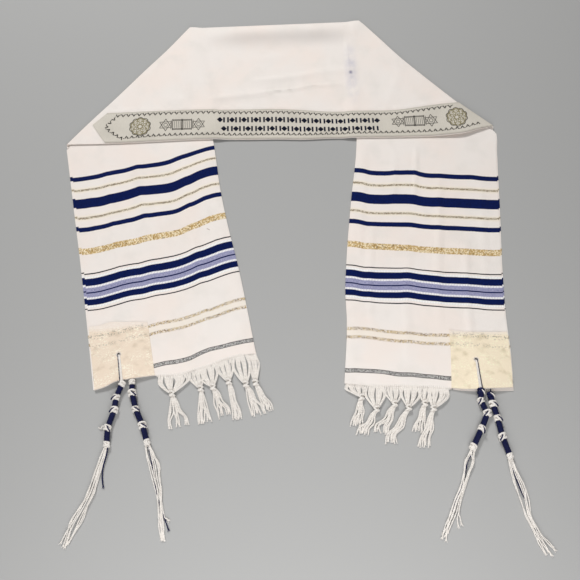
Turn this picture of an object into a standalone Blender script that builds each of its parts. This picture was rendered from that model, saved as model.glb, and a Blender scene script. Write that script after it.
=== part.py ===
"""A tallit prayer shawl laid flat on a surface.

The cloth is one rectangle folded in half along its length, ply A over ply B. Both ends turn
under along a slanting fold, so each end lies beneath the middle stretch and shows ply B.
Lengths are in millimetres until they reach a mesh. X is to the right, Y away, Z up.

Three kinds of coordinates place everything:
- strip: (x, w, n), along the middle, up from its long edge, and off the folded cloth's mid-plane
- end:   (u, v), in from an end's outer edge, and down from the outer corner of its slanting fold
- world: (x, y, z)
"""
from bisect import bisect
from functools import lru_cache
from math import cos, exp, pi, radians, sin, tan

import bmesh
import bpy
import numpy as np

MM = 0.001
COLLECTION = "tallit_prayer_shawl"

# the folded cloth
WALL = 1.0                          # thickness of a ply
GAP = 0.3                           # between neighbouring pieces, and between plies
PITCH = WALL + GAP                  # from a ply's mid-surface to the next one's
HALF_PITCH = PITCH / 2
PLY_A = 255.0                       # from the lengthwise fold to ply A's long edge
B_INSET = 5.0                       # ply B's long edge, in from ply A's
LOW = WALL / 2 + HALF_PITCH         # mid-plane height of the folded cloth on the surface
HIGH = LOW + 2 * PITCH              # the same where it lies over an end
TURN_Z = (LOW + HIGH) / 2           # axis height of a slanting fold's turn
TURN_RADIUS = (HIGH - LOW) / 2
TURN_TAIL = 3.0                     # how far the middle runs on beneath, past the turn
TAIL_CLEAR = 1.2                    # an end begins this far past it
NOSE_CLEAR = WALL * 0.75            # the lengthwise folds' noses need this much more room there
FOLD_STEPS = 5
TURN_STEPS = 5
SETTLE = 4                          # rounds in which a place that depends on itself is found

# the middle stretch
EDGE_Y = 216.5                      # the ends' outer corners, above the origin
DROP_START = 6.0                    # the middle starts down this far past an end's inner fold
DROP_RUN = 22.0
NECK_BOW = dict(                    # how far the long edge, and the neckband's upper one, lie off straight
    x=(-382, -314, -111, -61, -1, 39, 91, 137, 217, 244, 291, 324, 347, 371, 384),
    edge=(0, -1.5, -1, -3, -5, -7.5, -7.5, -9.5, -12, -12.5, -12.5, -10.5, -4, 1.5, 3),
    head=(-1, -1, -1.5, -3, -5, -9, -15, -17, -18, -14.7, -9.5, -7, -5, -4, -4),
)
BOW_FADE = 110.0                    # the bow dies out this far above the neckband
TOP_SAG = 2.0                       # and the lengthwise fold lies this far below straight
PUFF = dict(x=321.0, run=40.0, depth=46.0, rise=3.5, stop=4.0, stop_run=20.0)   # the edge lifts there

# the neckband
BAND_FOOT = 1.5                     # its two edges, up from the long edge
BAND_HEAD = 63.0
BAND_TIP = dict(x=-336.9, w=39.0)
BAND_SHOULDER_X = -312.4
BAND_ROWS = (BAND_FOOT, 20, BAND_TIP["w"], BAND_HEAD)   # grid lines shared with ply A

# the two ends
SIDES = {
    "left": dict(
        sign=-1, corner_x=381.6, slant=radians(50.4), b_inset=B_INSET,
        edges=dict(v=(-211, 0, 50, 100, 130, 220, 290, 450),
                   outer=(0, -1, -0.6, -0.2, 0, 1, 1, -0.4),
                   inner=(255, 255, 255.5, 253, 251, 250, 252.5, 252)),
        fold=dict(along=(0, 50, 130, 210, 260, 330), inset=(2.4, 2.4, 4.4, 5.0, 6.2, 4.6)),
        hem_top=dict(u=(5, 20, 38, 58, 95, 147, 195, 255),
                     v=(447.5, 446.5, 442, 443, 445.5, 453, 454.5, 449.5)),
        hem_under=dict(u=(0, 38, 58, 100, 150, 195, 255),
                       v=(446, 441, 442, 445, 452.5, 454, 449.5)),
        tuck_u=50.0, patch_u=96.5, patch_drop=(102.0, 87.0),
    ),
    "right": dict(
        sign=1, corner_x=385.8, slant=radians(48.4), b_inset=2.5,
        edges=dict(v=(-226, 0, 12, 50, 170, 280, 330, 370, 400, 440),
                   outer=(3, 5, 2.6, 2.8, 2.2, 2.2, 0.9, -1.6, -4.5, -6.4),
                   inner=(255, 250, 249, 247.3, 251.6, 253.6, 252.5, 248.4, 246.8, 246.5)),
        fold=dict(along=(0, 40, 80, 130, 180, 230, 280, 330), inset=(5.6, 8.8, 11.8, 12.4, 12.2, 11, 7, 3.4)),
        hem_top=dict(u=(2.5, 36, 74, 99, 172, 209, 255),
                     v=(459, 463.5, 468, 472, 476, 478.5, 480)),
        hem_under=dict(u=(0, 36, 74, 99, 172, 209, 255),
                       v=(465.5, 469, 471.5, 474, 478, 479.5, 480)),
        tuck_u=44.0, patch_u=94.0, patch_drop=(87.0, 91.0),
    ),
}

# the top ply lifts over the cords that pass beneath its corner
TUCK_WIDTH = 32.0
TUCK_SHELF = dict(rise=2.4, start=78.0, run=28.0)
TUCK_LIP = dict(rise=2.6, start=30.0, run=30.0)

PATCH_INSET = 0.8                   # patch edge in from the cloth's edges
CORNER_U = (20, 35, 50, 65, 80)     # grid lines that ply B and its patch share
ABOVE_HEM = (76, 60, 46, 34, 22, 10)
FRINGE_U = (95, 112, 130, 148, 166, 184, 202, 220, 238)   # shared by each ply and its fringe strip
EYELET_RADIUS = 2.75

# fringe: a strip parted from each hem, locks down to a knot, loose tails below it
STRIP = 3.0
STRIP_MARGIN = 2.0                  # the strip's end in from the lengthwise fold
ROOT_RADIUS = WALL / 2 - 0.06
LOCK_CLEAR = 1.0                    # a lock stays as thin as its root this far past the strip
LOCK_RISE = 9.0                     # and reaches its own level this far from its root
KNOT_SPREAD = 2.0                   # width over which the locks enter a knot
TAIL_ROOT_SPREAD = 3.0
TAIL_FAN = 9.0                      # width of the tails once they lie beside each other
TAIL_DROP = 13.0                    # distance below the knot at which they do
TAIL_STAGGER = 5.0
TAIL_RADII = (0.8, 0.95, 0.7)
FRINGE_LEVELS = {
    "top": dict(side=-1, locks=5, tails=5, lock_z=3.3, lock_r=1.1, knot_z=3.4,
                knot_r=(4.5, 3.6, 2.6), tail_z=1.15),
    "under": dict(side=1, locks=3, tails=4, lock_z=1.0, lock_r=0.88, knot_z=1.08,
                  knot_r=(4.6, 3.8, 0.96), tail_z=1.0),
}
BUNDLE_COLUMNS = ("root_from", "root_to", "knot_u", "knot_v", "tip_from", "tip_to", "tip_v")
BUNDLES = {
    ("left", "top"): (
        (101, 147, 118, 479, 106, 131, 526),
        (154, 196, 181, 485, 183, 198, 527),
        (204, 248, 231, 491, 232, 247, 535),
    ),
    ("left", "under"): (
        (136, 172, 161, 482, 150, 165, 528),
        (180, 216, 206, 480, 206, 214, 533),
        (228, 252, 245, 492, 252, 264, 533),
    ),
    ("right", "top"): (
        (99, 128, 121, 502, 127, 140, 555),
        (138, 178, 158, 505, 178, 191, 554),
        (190, 234, 207, 511, 219, 232, 545),
    ),
    ("right", "under"): (
        (114, 150, 136, 497, 143, 154, 533),
        (164, 198, 179, 501, 194, 205, 541),
        (222, 252, 228, 494, 235, 245, 533),
    ),
}
# corner tassels: a wound shaft with five knots, a loop to the eyelet, loose tails
KNOT_RADIUS = 5.2
WINDING_RADIUS = 4.1
KNOT_HALF = 4.0                     # half a knot's length along the shaft
KNOT_END = 0.58                     # the end knots close in to this share of their radius
KNOT_TOP_LOOP = 1.5                 # the loop leaves the first knot this far off its centre
SHAFT_Z = KNOT_RADIUS + 0.3
STRAND_RADIUS = 0.95
LOOP_RADIUS = 0.8
LOOP_OFFSETS = (-1, 0, 1)
LOOP_ABOVE_HEM = (1, 16, 32)        # stations of the loop between its knot and its eyelet
LOOP_WIDTHS = (1.9, 1.9, 1.9, 1.7, 1.2, 0.9, 0.9)       # its strands' spacing at each station
TASSEL_TAILS = 8
TAIL_STATIONS = dict(
    z=(SHAFT_Z - 2.0, 2.2, 1.1, 1.1, 1.1),
    half_spacing=(0.47, 1.35, 1.35, 1.6, 1.8),
    radius=(0.8, STRAND_RADIUS, STRAND_RADIUS, STRAND_RADIUS, 0.75),
)
TASSELS = {
    ("left", "top"): dict(
        eyelet=(46, 401),
        knots=dict(u=(46, 34, 29, 16, 12), v=(447.8, 466, 484, 508, 531)),
        tails=dict(u=(-3, -18, -42, -60), v=(560, 592, 626, 652)),
    ),
    ("left", "under"): dict(
        eyelet=(62, 398),
        knots=dict(u=(61, 59, 61, 68, 71), v=(448.4, 465, 490, 516, 541)),
        tails=dict(u=(75, 77, 75, 74), v=(577, 611, 645, 674)),
    ),
    ("right", "top"): dict(
        eyelet=(56, 423),
        knots=dict(u=(51, 51, 42, 51, 64), v=(471.4, 485, 503, 526, 553)),
        tails=dict(u=(69, 79, 91, 100), v=(572, 610, 645, 677)),
    ),
    ("right", "under"): dict(
        eyelet=(38, 421),
        knots=dict(u=(37, 33, 27, 21, 11), v=(475.4, 489, 509, 535, 561)),
        tails=dict(u=(-2, -12, -24, -38), v=(602, 640, 666, 685)),
    ),
}

COLOURS = {                         # base colour and roughness
    "cloth": ((0.86, 0.83, 0.79), 0.9),
    "neckband": ((0.62, 0.58, 0.52), 0.7),
    "brocade": ((0.86, 0.78, 0.60), 0.7),
    "fringe": ((0.84, 0.80, 0.74), 0.9),
    "tzitzit": ((0.30, 0.31, 0.48), 0.9),
}


# ---------------------------------------------------------------- shaping

def smooth(t):
    """0 to 1 with level ends."""
    t = np.clip(t, 0.0, 1.0)
    return t * t * (3 - 2 * t)


def bell(t):
    return exp(-t * t)


def fade(distance, depth):
    """1 at an edge, falling to 0 at depth."""
    return max(0.0, 1.0 - distance / depth)


@lru_cache(maxsize=None)
def slopes_of(xs, ys):
    return tuple(float(slope) for slope in np.gradient(np.array(ys, float), np.array(xs, float)))


def curve_through(x, xs, ys):
    """A smooth curve through the points (xs, ys), read at x and level past its ends."""
    slopes = slopes_of(xs, ys)
    i = min(max(bisect(xs, x) - 1, 0), len(xs) - 2)
    h = xs[i + 1] - xs[i]
    t = min(max((x - xs[i]) / h, 0.0), 1.0)
    return ((1 + 2 * t) * (1 - t) ** 2 * ys[i] + t * (1 - t) ** 2 * h * slopes[i]
            + t * t * (3 - 2 * t) * ys[i + 1] + t * t * (t - 1) * h * slopes[i + 1])


def hem(side, ply, u):
    table = SIDES[side]["hem_top" if ply == "top" else "hem_under"]
    return curve_through(u, table["u"], table["v"])


# ---------------------------------------------------------------- an end

def end_axes(side):
    """Outer corner, direction down the end, and direction across it to its inner fold."""
    s = SIDES[side]
    lean = 2 * s["slant"] - pi / 2
    corner = np.array([s["sign"] * s["corner_x"], EDGE_Y])
    down = np.array([-s["sign"] * sin(lean), -cos(lean)])
    across = np.array([-s["sign"] * cos(lean), sin(lean)])
    return corner, down, across


def laid_u(side, u, v):
    """Where u lies across the laid end, between its outer edge and its inner fold."""
    edges = SIDES[side]["edges"]
    outer = curve_through(v, edges["v"], edges["outer"])
    inner = curve_through(v, edges["v"], edges["inner"])
    return outer + (inner - outer) * u / PLY_A


def end_plan(side, u, v):
    """World x and y of a point on an end."""
    corner, down, across = end_axes(side)
    return corner + across * laid_u(side, u, v) + down * v


def fold_inset(side, along):
    """How far a slanting fold lies inside its straight line, along from its outer corner."""
    fold = SIDES[side]["fold"]
    return curve_through(along, fold["along"], fold["inset"])


def end_start(side, u):
    """The v at which an end begins, just past the middle's tail."""
    slant = SIDES[side]["slant"]
    clear = TURN_TAIL + TAIL_CLEAR + (NOSE_CLEAR if u >= PLY_A else 0.0)
    v = -u / tan(slant)
    for _ in range(SETTLE):
        across = laid_u(side, u, v)
        inset = fold_inset(side, across * sin(slant) - v * cos(slant))
        v = -across / tan(slant) + (clear + inset) / sin(slant)
    return v


def tuck_lift(side, u, v):
    """How far ply B and its patch are lifted by the cords beneath the corner."""
    above_hem = hem(side, "top", u) - v
    shelf = TUCK_SHELF["rise"] * smooth((TUCK_SHELF["start"] - above_hem) / TUCK_SHELF["run"])
    lip = TUCK_LIP["rise"] * smooth((TUCK_LIP["start"] - above_hem) / TUCK_LIP["run"])
    return bell((u - SIDES[side]["tuck_u"]) / TUCK_WIDTH) * (shelf + lip)


def end_point(side, u, v, n):
    """World point on an end, n off the mid-plane: ply A is +, below, and ply B is -, above."""
    x, y = end_plan(side, u, v)
    lift = tuck_lift(side, u, v) if n < 0 else 0.0
    return x, y, LOW - n + lift


def end_places(side, spots):
    """World points of (u, v, z) spots on an end."""
    return [(*end_plan(side, u, v), z) for u, v, z in spots]


# ---------------------------------------------------------------- the middle

def slant_x(side, y):
    """World x of a slanting fold's line at height y."""
    s = SIDES[side]
    along, inset = (y - EDGE_Y) / sin(s["slant"]), 0.0
    for _ in range(SETTLE):
        inset = fold_inset(side, along)
        along = (y - EDGE_Y + inset * cos(s["slant"])) / sin(s["slant"])
    return s["sign"] * (s["corner_x"] - along * cos(s["slant"]) - inset * sin(s["slant"]))


@lru_cache(maxsize=None)
def inner_fold_line(side):
    """Two world points on an end's inner fold, beneath the middle."""
    outermost = PLY_A + HALF_PITCH + WALL / 2
    return end_plan(side, outermost, -200), end_plan(side, outermost, 50)


def inner_fold_x(side, y):
    """World x of an end's inner fold at height y, continued straight."""
    top, foot = inner_fold_line(side)
    return foot[0] + (top[0] - foot[0]) * (y - foot[1]) / (top[1] - foot[1])


def bow(x, w):
    """How far up the strip lies off straight: neckband and long edge follow the neck's curve."""
    edge = curve_through(x, NECK_BOW["x"], NECK_BOW["edge"])
    head = curve_through(x, NECK_BOW["x"], NECK_BOW["head"])
    if w < BAND_HEAD:
        return edge + (head - edge) * w / BAND_HEAD
    sag = TOP_SAG * smooth((w - BAND_HEAD) / (PLY_A - BAND_HEAD))
    return head * (1 - smooth((w - BAND_HEAD) / BOW_FADE)) - sag


def middle_height(x, y, w):
    """Mid-plane height of the middle: high over the ends, low between them."""
    past_left = (x - inner_fold_x("left", y) - DROP_START) / DROP_RUN
    past_right = (inner_fold_x("right", y) - x - DROP_START) / DROP_RUN
    lowered = smooth(past_left) * smooth(past_right)
    puff = PUFF["rise"] * bell((x - PUFF["x"]) / PUFF["run"]) * fade(w, PUFF["depth"]) ** 2
    to_fold = slant_x("right", y) - x
    return HIGH - (HIGH - LOW) * lowered + puff * smooth((to_fold - PUFF["stop"]) / PUFF["stop_run"])


def middle_point(x, w, n):
    """World point of the strip, bent under wherever it passes a slanting fold."""
    y = EDGE_Y + w + bow(x, w)
    for side in SIDES:
        s = SIDES[side]
        inward = np.array([-s["sign"] * sin(s["slant"]), -cos(s["slant"])])
        fold_way = np.array([-s["sign"] * cos(s["slant"]), sin(s["slant"])])
        from_corner = np.array([x - s["sign"] * s["corner_x"], y - EDGE_Y])
        distance = float(from_corner @ inward) - fold_inset(side, float(from_corner @ fold_way))
        if distance >= 0:
            continue
        line = np.array([x, y]) - distance * inward
        arc = -distance
        turned = min(arc / TURN_RADIUS, pi)
        plan = line - inward * (TURN_RADIUS + n) * sin(turned)
        plan = plan + inward * max(0.0, arc - pi * TURN_RADIUS)
        return plan[0], plan[1], TURN_Z + (TURN_RADIUS + n) * cos(turned)
    return x, y, middle_height(x, y, w) + n


def turn_columns(side, w):
    """Strip x of the grid columns around a slanting fold, from the fold line outwards."""
    s = SIDES[side]
    line_x = slant_x(side, EDGE_Y + w)
    for _ in range(SETTLE):
        line_x = slant_x(side, EDGE_Y + w + bow(line_x, w))
    arcs = [pi * TURN_RADIUS * i / TURN_STEPS for i in range(TURN_STEPS + 1)]
    arcs.append(pi * TURN_RADIUS + TURN_TAIL)
    return [line_x + s["sign"] * arc / sin(s["slant"]) for arc in arcs]


def column_runs(w):
    """Strip x of the middle's grid columns at one w, in runs from left to right."""
    y = EDGE_Y + w + bow(0, w)
    left, right = turn_columns("left", w), turn_columns("right", w)
    drop_left = inner_fold_x("left", y) + DROP_START
    drop_right = inner_fold_x("right", y) - DROP_START
    down = np.linspace(drop_left, drop_left + DROP_RUN, 5)
    up = np.linspace(drop_right - DROP_RUN, drop_right, 5)
    return dict(
        left=left[::-1],
        over_left=np.linspace(left[0], drop_left, 5)[1:-1],
        down=down,
        between=np.linspace(down[-1], up[0], 8)[1:-1],
        up=up,
        over_right=np.linspace(drop_right, right[0], 8)[1:-1],
        right=right,
    )


# ---------------------------------------------------------------- profile across a folded cloth

def fold_profile(a_steps, b_steps):
    """(w, n, ply) from ply A's long edge, round the lengthwise fold, to ply B's long edge."""
    rows = [(w, HALF_PITCH, "under") for w in a_steps]
    for i in range(1, FOLD_STEPS):
        turn = pi * i / FOLD_STEPS
        rows.append((PLY_A + HALF_PITCH * sin(turn), HALF_PITCH * cos(turn), "fold"))
    rows += [(w, -HALF_PITCH, "top") for w in b_steps]
    return rows


# ---------------------------------------------------------------- Blender objects

def material(name):
    if name in bpy.data.materials:
        return bpy.data.materials[name]
    colour, roughness = COLOURS[name]
    made = bpy.data.materials.new(name)
    made.use_nodes = True
    shader = made.node_tree.nodes["Principled BSDF"]
    shader.inputs["Base Color"].default_value = (*colour, 1.0)
    shader.inputs["Roughness"].default_value = roughness
    shader.inputs["Metallic"].default_value = 0.0
    return made


def link_object(name, mesh, collection, finish=None):
    made = bpy.data.objects.new(name, mesh)
    collection.objects.link(made)
    if finish:
        mesh.materials.clear()
        mesh.materials.append(material(finish))
    return made


def cloth_sheet(name, rows, columns, place, collection, finish, thickness=WALL):
    """A grid whose point (row, column) lies at place(row, column), given thickness."""
    mesh = bpy.data.meshes.new(name)
    bm = bmesh.new()
    bmesh.ops.create_grid(bm, x_segments=columns - 1, y_segments=rows - 1, size=0.5)
    for vert in bm.verts:
        column = round((vert.co.x + 0.5) * (columns - 1))
        row = round((vert.co.y + 0.5) * (rows - 1))
        vert.co = [MM * value for value in place(row, column)]
    bm.to_mesh(mesh)
    bm.free()
    made = link_object(name, mesh, collection, finish)
    wall = made.modifiers.new("wall", "SOLIDIFY")
    wall.thickness = thickness * MM
    wall.offset = 0.0
    wall.use_even_offset = True
    wall.use_quality_normals = True
    return made


def evaluated_mesh(made):
    """The object's mesh as evaluated, in world space, with any caps welded."""
    depsgraph = bpy.context.evaluated_depsgraph_get()
    mesh = bpy.data.meshes.new_from_object(made.evaluated_get(depsgraph))
    mesh.transform(made.matrix_world)
    bm = bmesh.new()
    bm.from_mesh(mesh)
    bmesh.ops.remove_doubles(bm, verts=bm.verts, dist=1e-6)
    bm.to_mesh(mesh)
    bm.free()
    return mesh


def tube(name, points, radii, collection, round_sides=False):
    """A tapering tube through points, four-sided, or six-sided where round_sides."""
    curve = bpy.data.curves.new(name, "CURVE")
    curve.dimensions = "3D"
    curve.bevel_depth = MM
    curve.bevel_resolution = 1 if round_sides else 0
    curve.use_fill_caps = True
    spline = curve.splines.new("POLY")
    spline.points.add(len(points) - 1)
    for point, place, radius in zip(spline.points, points, radii):
        point.co = (*[MM * value for value in place], 1.0)
        point.radius = radius
    drawn = link_object(name + "_curve", curve, collection)
    mesh = evaluated_mesh(drawn)
    bpy.data.objects.remove(drawn)
    bpy.data.curves.remove(curve)
    return link_object(name, mesh, collection)


def ellipsoid(name, centre, radii, collection):
    mesh = bpy.data.meshes.new(name)
    bm = bmesh.new()
    bmesh.ops.create_uvsphere(bm, u_segments=6, v_segments=4, radius=1.0)
    for vert in bm.verts:
        vert.co = [MM * (c + r * value) for c, r, value in zip(centre, radii, vert.co)]
    bm.to_mesh(mesh)
    bm.free()
    return link_object(name, mesh, collection)


def fuse(name, base, others, collection, finish):
    """One closed body from base and the solids that root in it."""
    operands = bpy.data.collections.new(name + "_operands")
    bpy.context.scene.collection.children.link(operands)
    for other in others:
        for holder in list(other.users_collection):
            holder.objects.unlink(other)
        operands.objects.link(other)
    union = base.modifiers.new("union", "BOOLEAN")
    union.operation = "UNION"
    union.operand_type = "COLLECTION"
    union.collection = operands
    union.solver = "EXACT"
    mesh = evaluated_mesh(base)
    for piece in [base, *others]:
        bpy.data.objects.remove(piece)
    bpy.data.collections.remove(operands)
    return link_object(name, mesh, collection, finish)


# ---------------------------------------------------------------- sub-parts

def make_middle(collection):
    a_steps = (0, *BAND_ROWS[1:], 90, 130, 170, 215, PLY_A)
    b_steps = (PLY_A, 215, 170, 130, 90, 50, 20, B_INSET)
    profile = fold_profile(a_steps, b_steps)
    columns = [[x for run in column_runs(w).values() for x in run] for w, _, _ in profile]

    def place(row, column):
        w, n, _ = profile[row]
        return middle_point(columns[row][column], w, n)
    return cloth_sheet("shawl_middle", len(profile), len(columns[0]), place, collection, "cloth")


def make_end(side, collection):
    a_steps = (0, 30, 60, *FRINGE_U, PLY_A)
    b_steps = (PLY_A, *FRINGE_U[::-1], *CORNER_U[::-1], SIDES[side]["b_inset"])
    profile = fold_profile(a_steps, b_steps)
    upper_rows = 3

    def place(row, column):
        u, n, ply = profile[row]
        start = end_start(side, u)
        foot = hem(side, "under" if ply == "under" else "top", u)
        above = (*ABOVE_HEM, 0)
        if column < upper_rows:
            v = start + (foot - above[0] - start) * column / upper_rows
        else:
            v = foot - above[column - upper_rows]
        return end_point(side, u, v, n)
    name = "shawl_" + side
    return cloth_sheet(name, len(profile), upper_rows + len(ABOVE_HEM) + 1, place, collection, "cloth")


def make_neckband(collection):
    n = HALF_PITCH + PITCH

    def left_end(w):
        tip, shoulder = BAND_TIP["x"], BAND_SHOULDER_X
        reach = BAND_TIP["w"] - BAND_FOOT if w < BAND_TIP["w"] else BAND_HEAD - BAND_TIP["w"]
        return tip + (shoulder - tip) * abs(w - BAND_TIP["w"]) / reach

    def columns(w):
        runs = column_runs(w)
        wrap = runs["right"][:3]
        wrap[2] = (wrap[1] + wrap[2]) / 2
        start = [left_end(w), (left_end(w) + runs["down"][0]) / 2]
        return [*start, *runs["down"], *runs["between"], *runs["up"], *runs["over_right"], *wrap]

    xs = [columns(w) for w in BAND_ROWS]

    def place(row, column):
        return middle_point(xs[row][column], BAND_ROWS[row], n)
    return cloth_sheet("atarah", len(BAND_ROWS), len(xs[0]), place, collection, "neckband")


def make_patch(side, collection):
    s = SIDES[side]
    u_steps = (s["b_inset"] + PATCH_INSET, *CORNER_U, s["patch_u"])
    outer, inner = s["patch_drop"]

    def place(row, column):
        u = u_steps[row]
        across = (u - u_steps[0]) / (u_steps[-1] - u_steps[0])
        above = (PATCH_INSET, *ABOVE_HEM[::-1], outer + (inner - outer) * across)
        return end_point(side, u, hem(side, "top", u) - above[column], -HALF_PITCH - PITCH)
    name = "corner_patch_" + side
    return cloth_sheet(name, len(u_steps), len(ABOVE_HEM) + 2, place, collection, "brocade")


def cut_eyelet(targets, side, eyelet, low, high, cutters):
    """A round hole through the targets between the heights low and high."""
    x, y = end_plan(side, *eyelet)
    mesh = bpy.data.meshes.new("eyelet")
    bm = bmesh.new()
    bmesh.ops.create_cone(bm, cap_ends=True, segments=10, radius1=EYELET_RADIUS * MM,
                          radius2=EYELET_RADIUS * MM, depth=(high - low) * MM)
    bm.to_mesh(mesh)
    bm.free()
    cutter = link_object("eyelet_cutter_" + side, mesh, cutters)
    cutter.location = (x * MM, y * MM, (low + high) / 2 * MM)
    cutter.hide_render = True
    cutter.display_type = "WIRE"
    for target in targets:
        cut = target.modifiers.new("eyelet", "BOOLEAN")
        cut.operation = "DIFFERENCE"
        cut.object = cutter
        cut.solver = "EXACT"


def hem_strip(side, ply, collection):
    """The narrow strip that a fringe's locks root in."""
    level = FRINGE_LEVELS[ply]["side"] * HALF_PITCH
    u_steps = (*FRINGE_U, PLY_A - STRIP_MARGIN)

    def place(row, column):
        u = u_steps[row]
        return end_point(side, u, hem(side, ply, u) + GAP + STRIP * column, level)
    return cloth_sheet("strip", len(u_steps), 2, place, collection, "fringe")


def make_fringe(side, ply, collection):
    level = FRINGE_LEVELS[ply]
    strip_z = LOW - level["side"] * HALF_PITCH
    pieces = []
    for row in BUNDLES[side, ply]:
        b = dict(zip(BUNDLE_COLUMNS, row))
        knot = (*end_plan(side, b["knot_u"], b["knot_v"]), level["knot_z"])
        pieces.append(ellipsoid("knot", knot, level["knot_r"], collection))
        for i in range(level["locks"]):
            share = i / (level["locks"] - 1)
            u = b["root_from"] + (b["root_to"] - b["root_from"]) * share
            v = hem(side, ply, u) + GAP + STRIP / 2
            risen_u = u + (b["knot_u"] - u) * LOCK_RISE / (b["knot_v"] - v)
            spots = [(u, v, strip_z), (u, v + STRIP / 2 + LOCK_CLEAR, strip_z),
                     (risen_u, v + LOCK_RISE, level["lock_z"]),
                     (b["knot_u"] + (share - 0.5) * KNOT_SPREAD, b["knot_v"], level["lock_z"])]
            radii = [ROOT_RADIUS, ROOT_RADIUS, level["lock_r"], level["lock_r"]]
            pieces.append(tube("lock", end_places(side, spots), radii, collection))
        for i in range(level["tails"]):
            share = i / (level["tails"] - 1)
            tip_u = b["tip_from"] + (b["tip_to"] - b["tip_from"]) * share
            tip_v = b["tip_v"] - TAIL_STAGGER * ((2 * i) % 3)
            near_u = b["knot_u"] + (share - 0.5) * TAIL_FAN
            near_u += (tip_u - near_u) * TAIL_DROP / (b["tip_v"] - b["knot_v"])
            spots = [(b["knot_u"] + (share - 0.5) * TAIL_ROOT_SPREAD, b["knot_v"], level["knot_z"]),
                     (near_u, b["knot_v"] + TAIL_DROP, level["tail_z"]),
                     (tip_u, tip_v, level["tail_z"])]
            pieces.append(tube("tail", end_places(side, spots), TAIL_RADII, collection))
    name = "fringe_" + side + "_" + ply
    return fuse(name, hem_strip(side, ply, collection), pieces, collection, "fringe")


def along(points, distance):
    """The point a distance along a polyline."""
    points = [np.array(p, float) for p in points]
    for start, end in zip(points, points[1:]):
        length = float(np.linalg.norm(end - start))
        if distance <= length or end is points[-1]:
            return start + (end - start) * distance / length
        distance -= length


def make_shaft(side, ply, collection):
    """The wound shaft with its knots, lying from the hem outwards."""
    knots = TASSELS[side, ply]["knots"]
    lift = tuck_lift(side, knots["u"][0], hem(side, "top", knots["u"][0])) if ply == "top" else 0.0
    first_z = LOW + HALF_PITCH + lift if ply == "top" else SHAFT_Z
    centres = [(*end_plan(side, u, v), first_z if i == 0 else SHAFT_Z)
               for i, (u, v) in enumerate(zip(knots["u"], knots["v"]))]
    stations = [0.0]
    for start, end in zip(centres, centres[1:]):
        stations.append(stations[-1] + float(np.linalg.norm(np.subtract(end, start))))
    marks = []
    for station in stations:
        marks += [(station - KNOT_HALF, WINDING_RADIUS), (station - KNOT_HALF / 2, KNOT_RADIUS),
                  (station + KNOT_HALF / 2, KNOT_RADIUS), (station + KNOT_HALF, WINDING_RADIUS)]
    marks[0] = (-KNOT_HALF, KNOT_RADIUS * KNOT_END)
    marks[-1] = (stations[-1] + KNOT_HALF, KNOT_RADIUS * KNOT_END)
    back = np.add(centres[0], np.subtract(centres[0], centres[1]))
    on = np.add(centres[-1], np.subtract(centres[-1], centres[-2]))
    line = [tuple(back), *centres, tuple(on)]
    lead = float(np.linalg.norm(np.subtract(line[1], line[0])))
    points = [along(line, lead + station) for station, _ in marks]
    return tube("shaft", points, [radius for _, radius in marks], collection, round_sides=True), centres


def loop_spots(side, ply, first_knot_z):
    """(u, v, z) along the loop, from inside the first knot to inside the eyelet."""
    tassel = TASSELS[side, ply]
    knot_u, knot_v = tassel["knots"]["u"][0], tassel["knots"]["v"][0]
    eye_u, eye_v = tassel["eyelet"]
    rest = GAP + LOOP_RADIUS
    patch_top = LOW + HALF_PITCH + PITCH + WALL / 2

    def bed(u, v):
        if ply == "under":
            return WALL + rest
        return patch_top + tuck_lift(side, u, v) + rest

    spots = [(knot_u, knot_v, first_knot_z)]
    hem_v = hem(side, "top", knot_u)
    for v in (*[hem_v - above for above in LOOP_ABOVE_HEM], eye_v + EYELET_RADIUS + LOOP_RADIUS):
        share = (knot_v - v) / (knot_v - eye_v)
        u = knot_u + (eye_u - knot_u) * share
        spots.append((u, v, bed(u, v)))
    mouth = bed(eye_u, eye_v) - LOOP_RADIUS
    bottom = WALL / 2 if ply == "under" else mouth - PITCH - WALL
    spots.append((eye_u, eye_v, mouth))
    spots.append((eye_u, eye_v, bottom))
    return spots


def make_tassel(side, ply, collection):
    tassel = TASSELS[side, ply]
    shaft, centres = make_shaft(side, ply, collection)
    pieces = []
    loop = loop_spots(side, ply, centres[0][2] + (KNOT_TOP_LOOP if ply == "top" else -KNOT_TOP_LOOP))
    for offset in LOOP_OFFSETS:
        spots = [(u + offset * width, v, z) for (u, v, z), width in zip(loop, LOOP_WIDTHS)]
        pieces.append(tube("loop", end_places(side, spots), [LOOP_RADIUS] * len(spots), collection))
    last = (tassel["knots"]["u"][-1], tassel["knots"]["v"][-1])
    way = [last, *zip(tassel["tails"]["u"], tassel["tails"]["v"])]
    for i in range(TASSEL_TAILS):
        offset = 2 * i - (TASSEL_TAILS - 1)
        spots = [(u + offset * half, v, z) for (u, v), half, z in
                 zip(way, TAIL_STATIONS["half_spacing"], TAIL_STATIONS["z"])]
        tip_u, tip_v, tip_z = spots[-1]
        spots[-1] = (tip_u, tip_v - TAIL_STAGGER * ((3 * i) % 4), tip_z)
        pieces.append(tube("tail", end_places(side, spots), TAIL_STATIONS["radius"], collection))
    return fuse("tzitzit_" + side + "_" + ply, shaft, pieces, collection, "tzitzit")


# ---------------------------------------------------------------- build

for old in list(bpy.data.objects):
    bpy.data.objects.remove(old)
parts = bpy.data.collections.new(COLLECTION)
cutters = bpy.data.collections.new("cutters")
bpy.context.scene.collection.children.link(parts)
bpy.context.scene.collection.children.link(cutters)

make_middle(parts)
make_neckband(parts)
for side in SIDES:
    end = make_end(side, parts)
    patch = make_patch(side, parts)
    between_plies = WALL + GAP / 2
    above_all = 20.0
    cut_eyelet([end, patch], side, TASSELS[side, "top"]["eyelet"], between_plies, above_all, cutters)
    cut_eyelet([end], side, TASSELS[side, "under"]["eyelet"], -WALL, between_plies, cutters)
    for ply in FRINGE_LEVELS:
        make_fringe(side, ply, parts)
        make_tassel(side, ply, parts)
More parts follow.
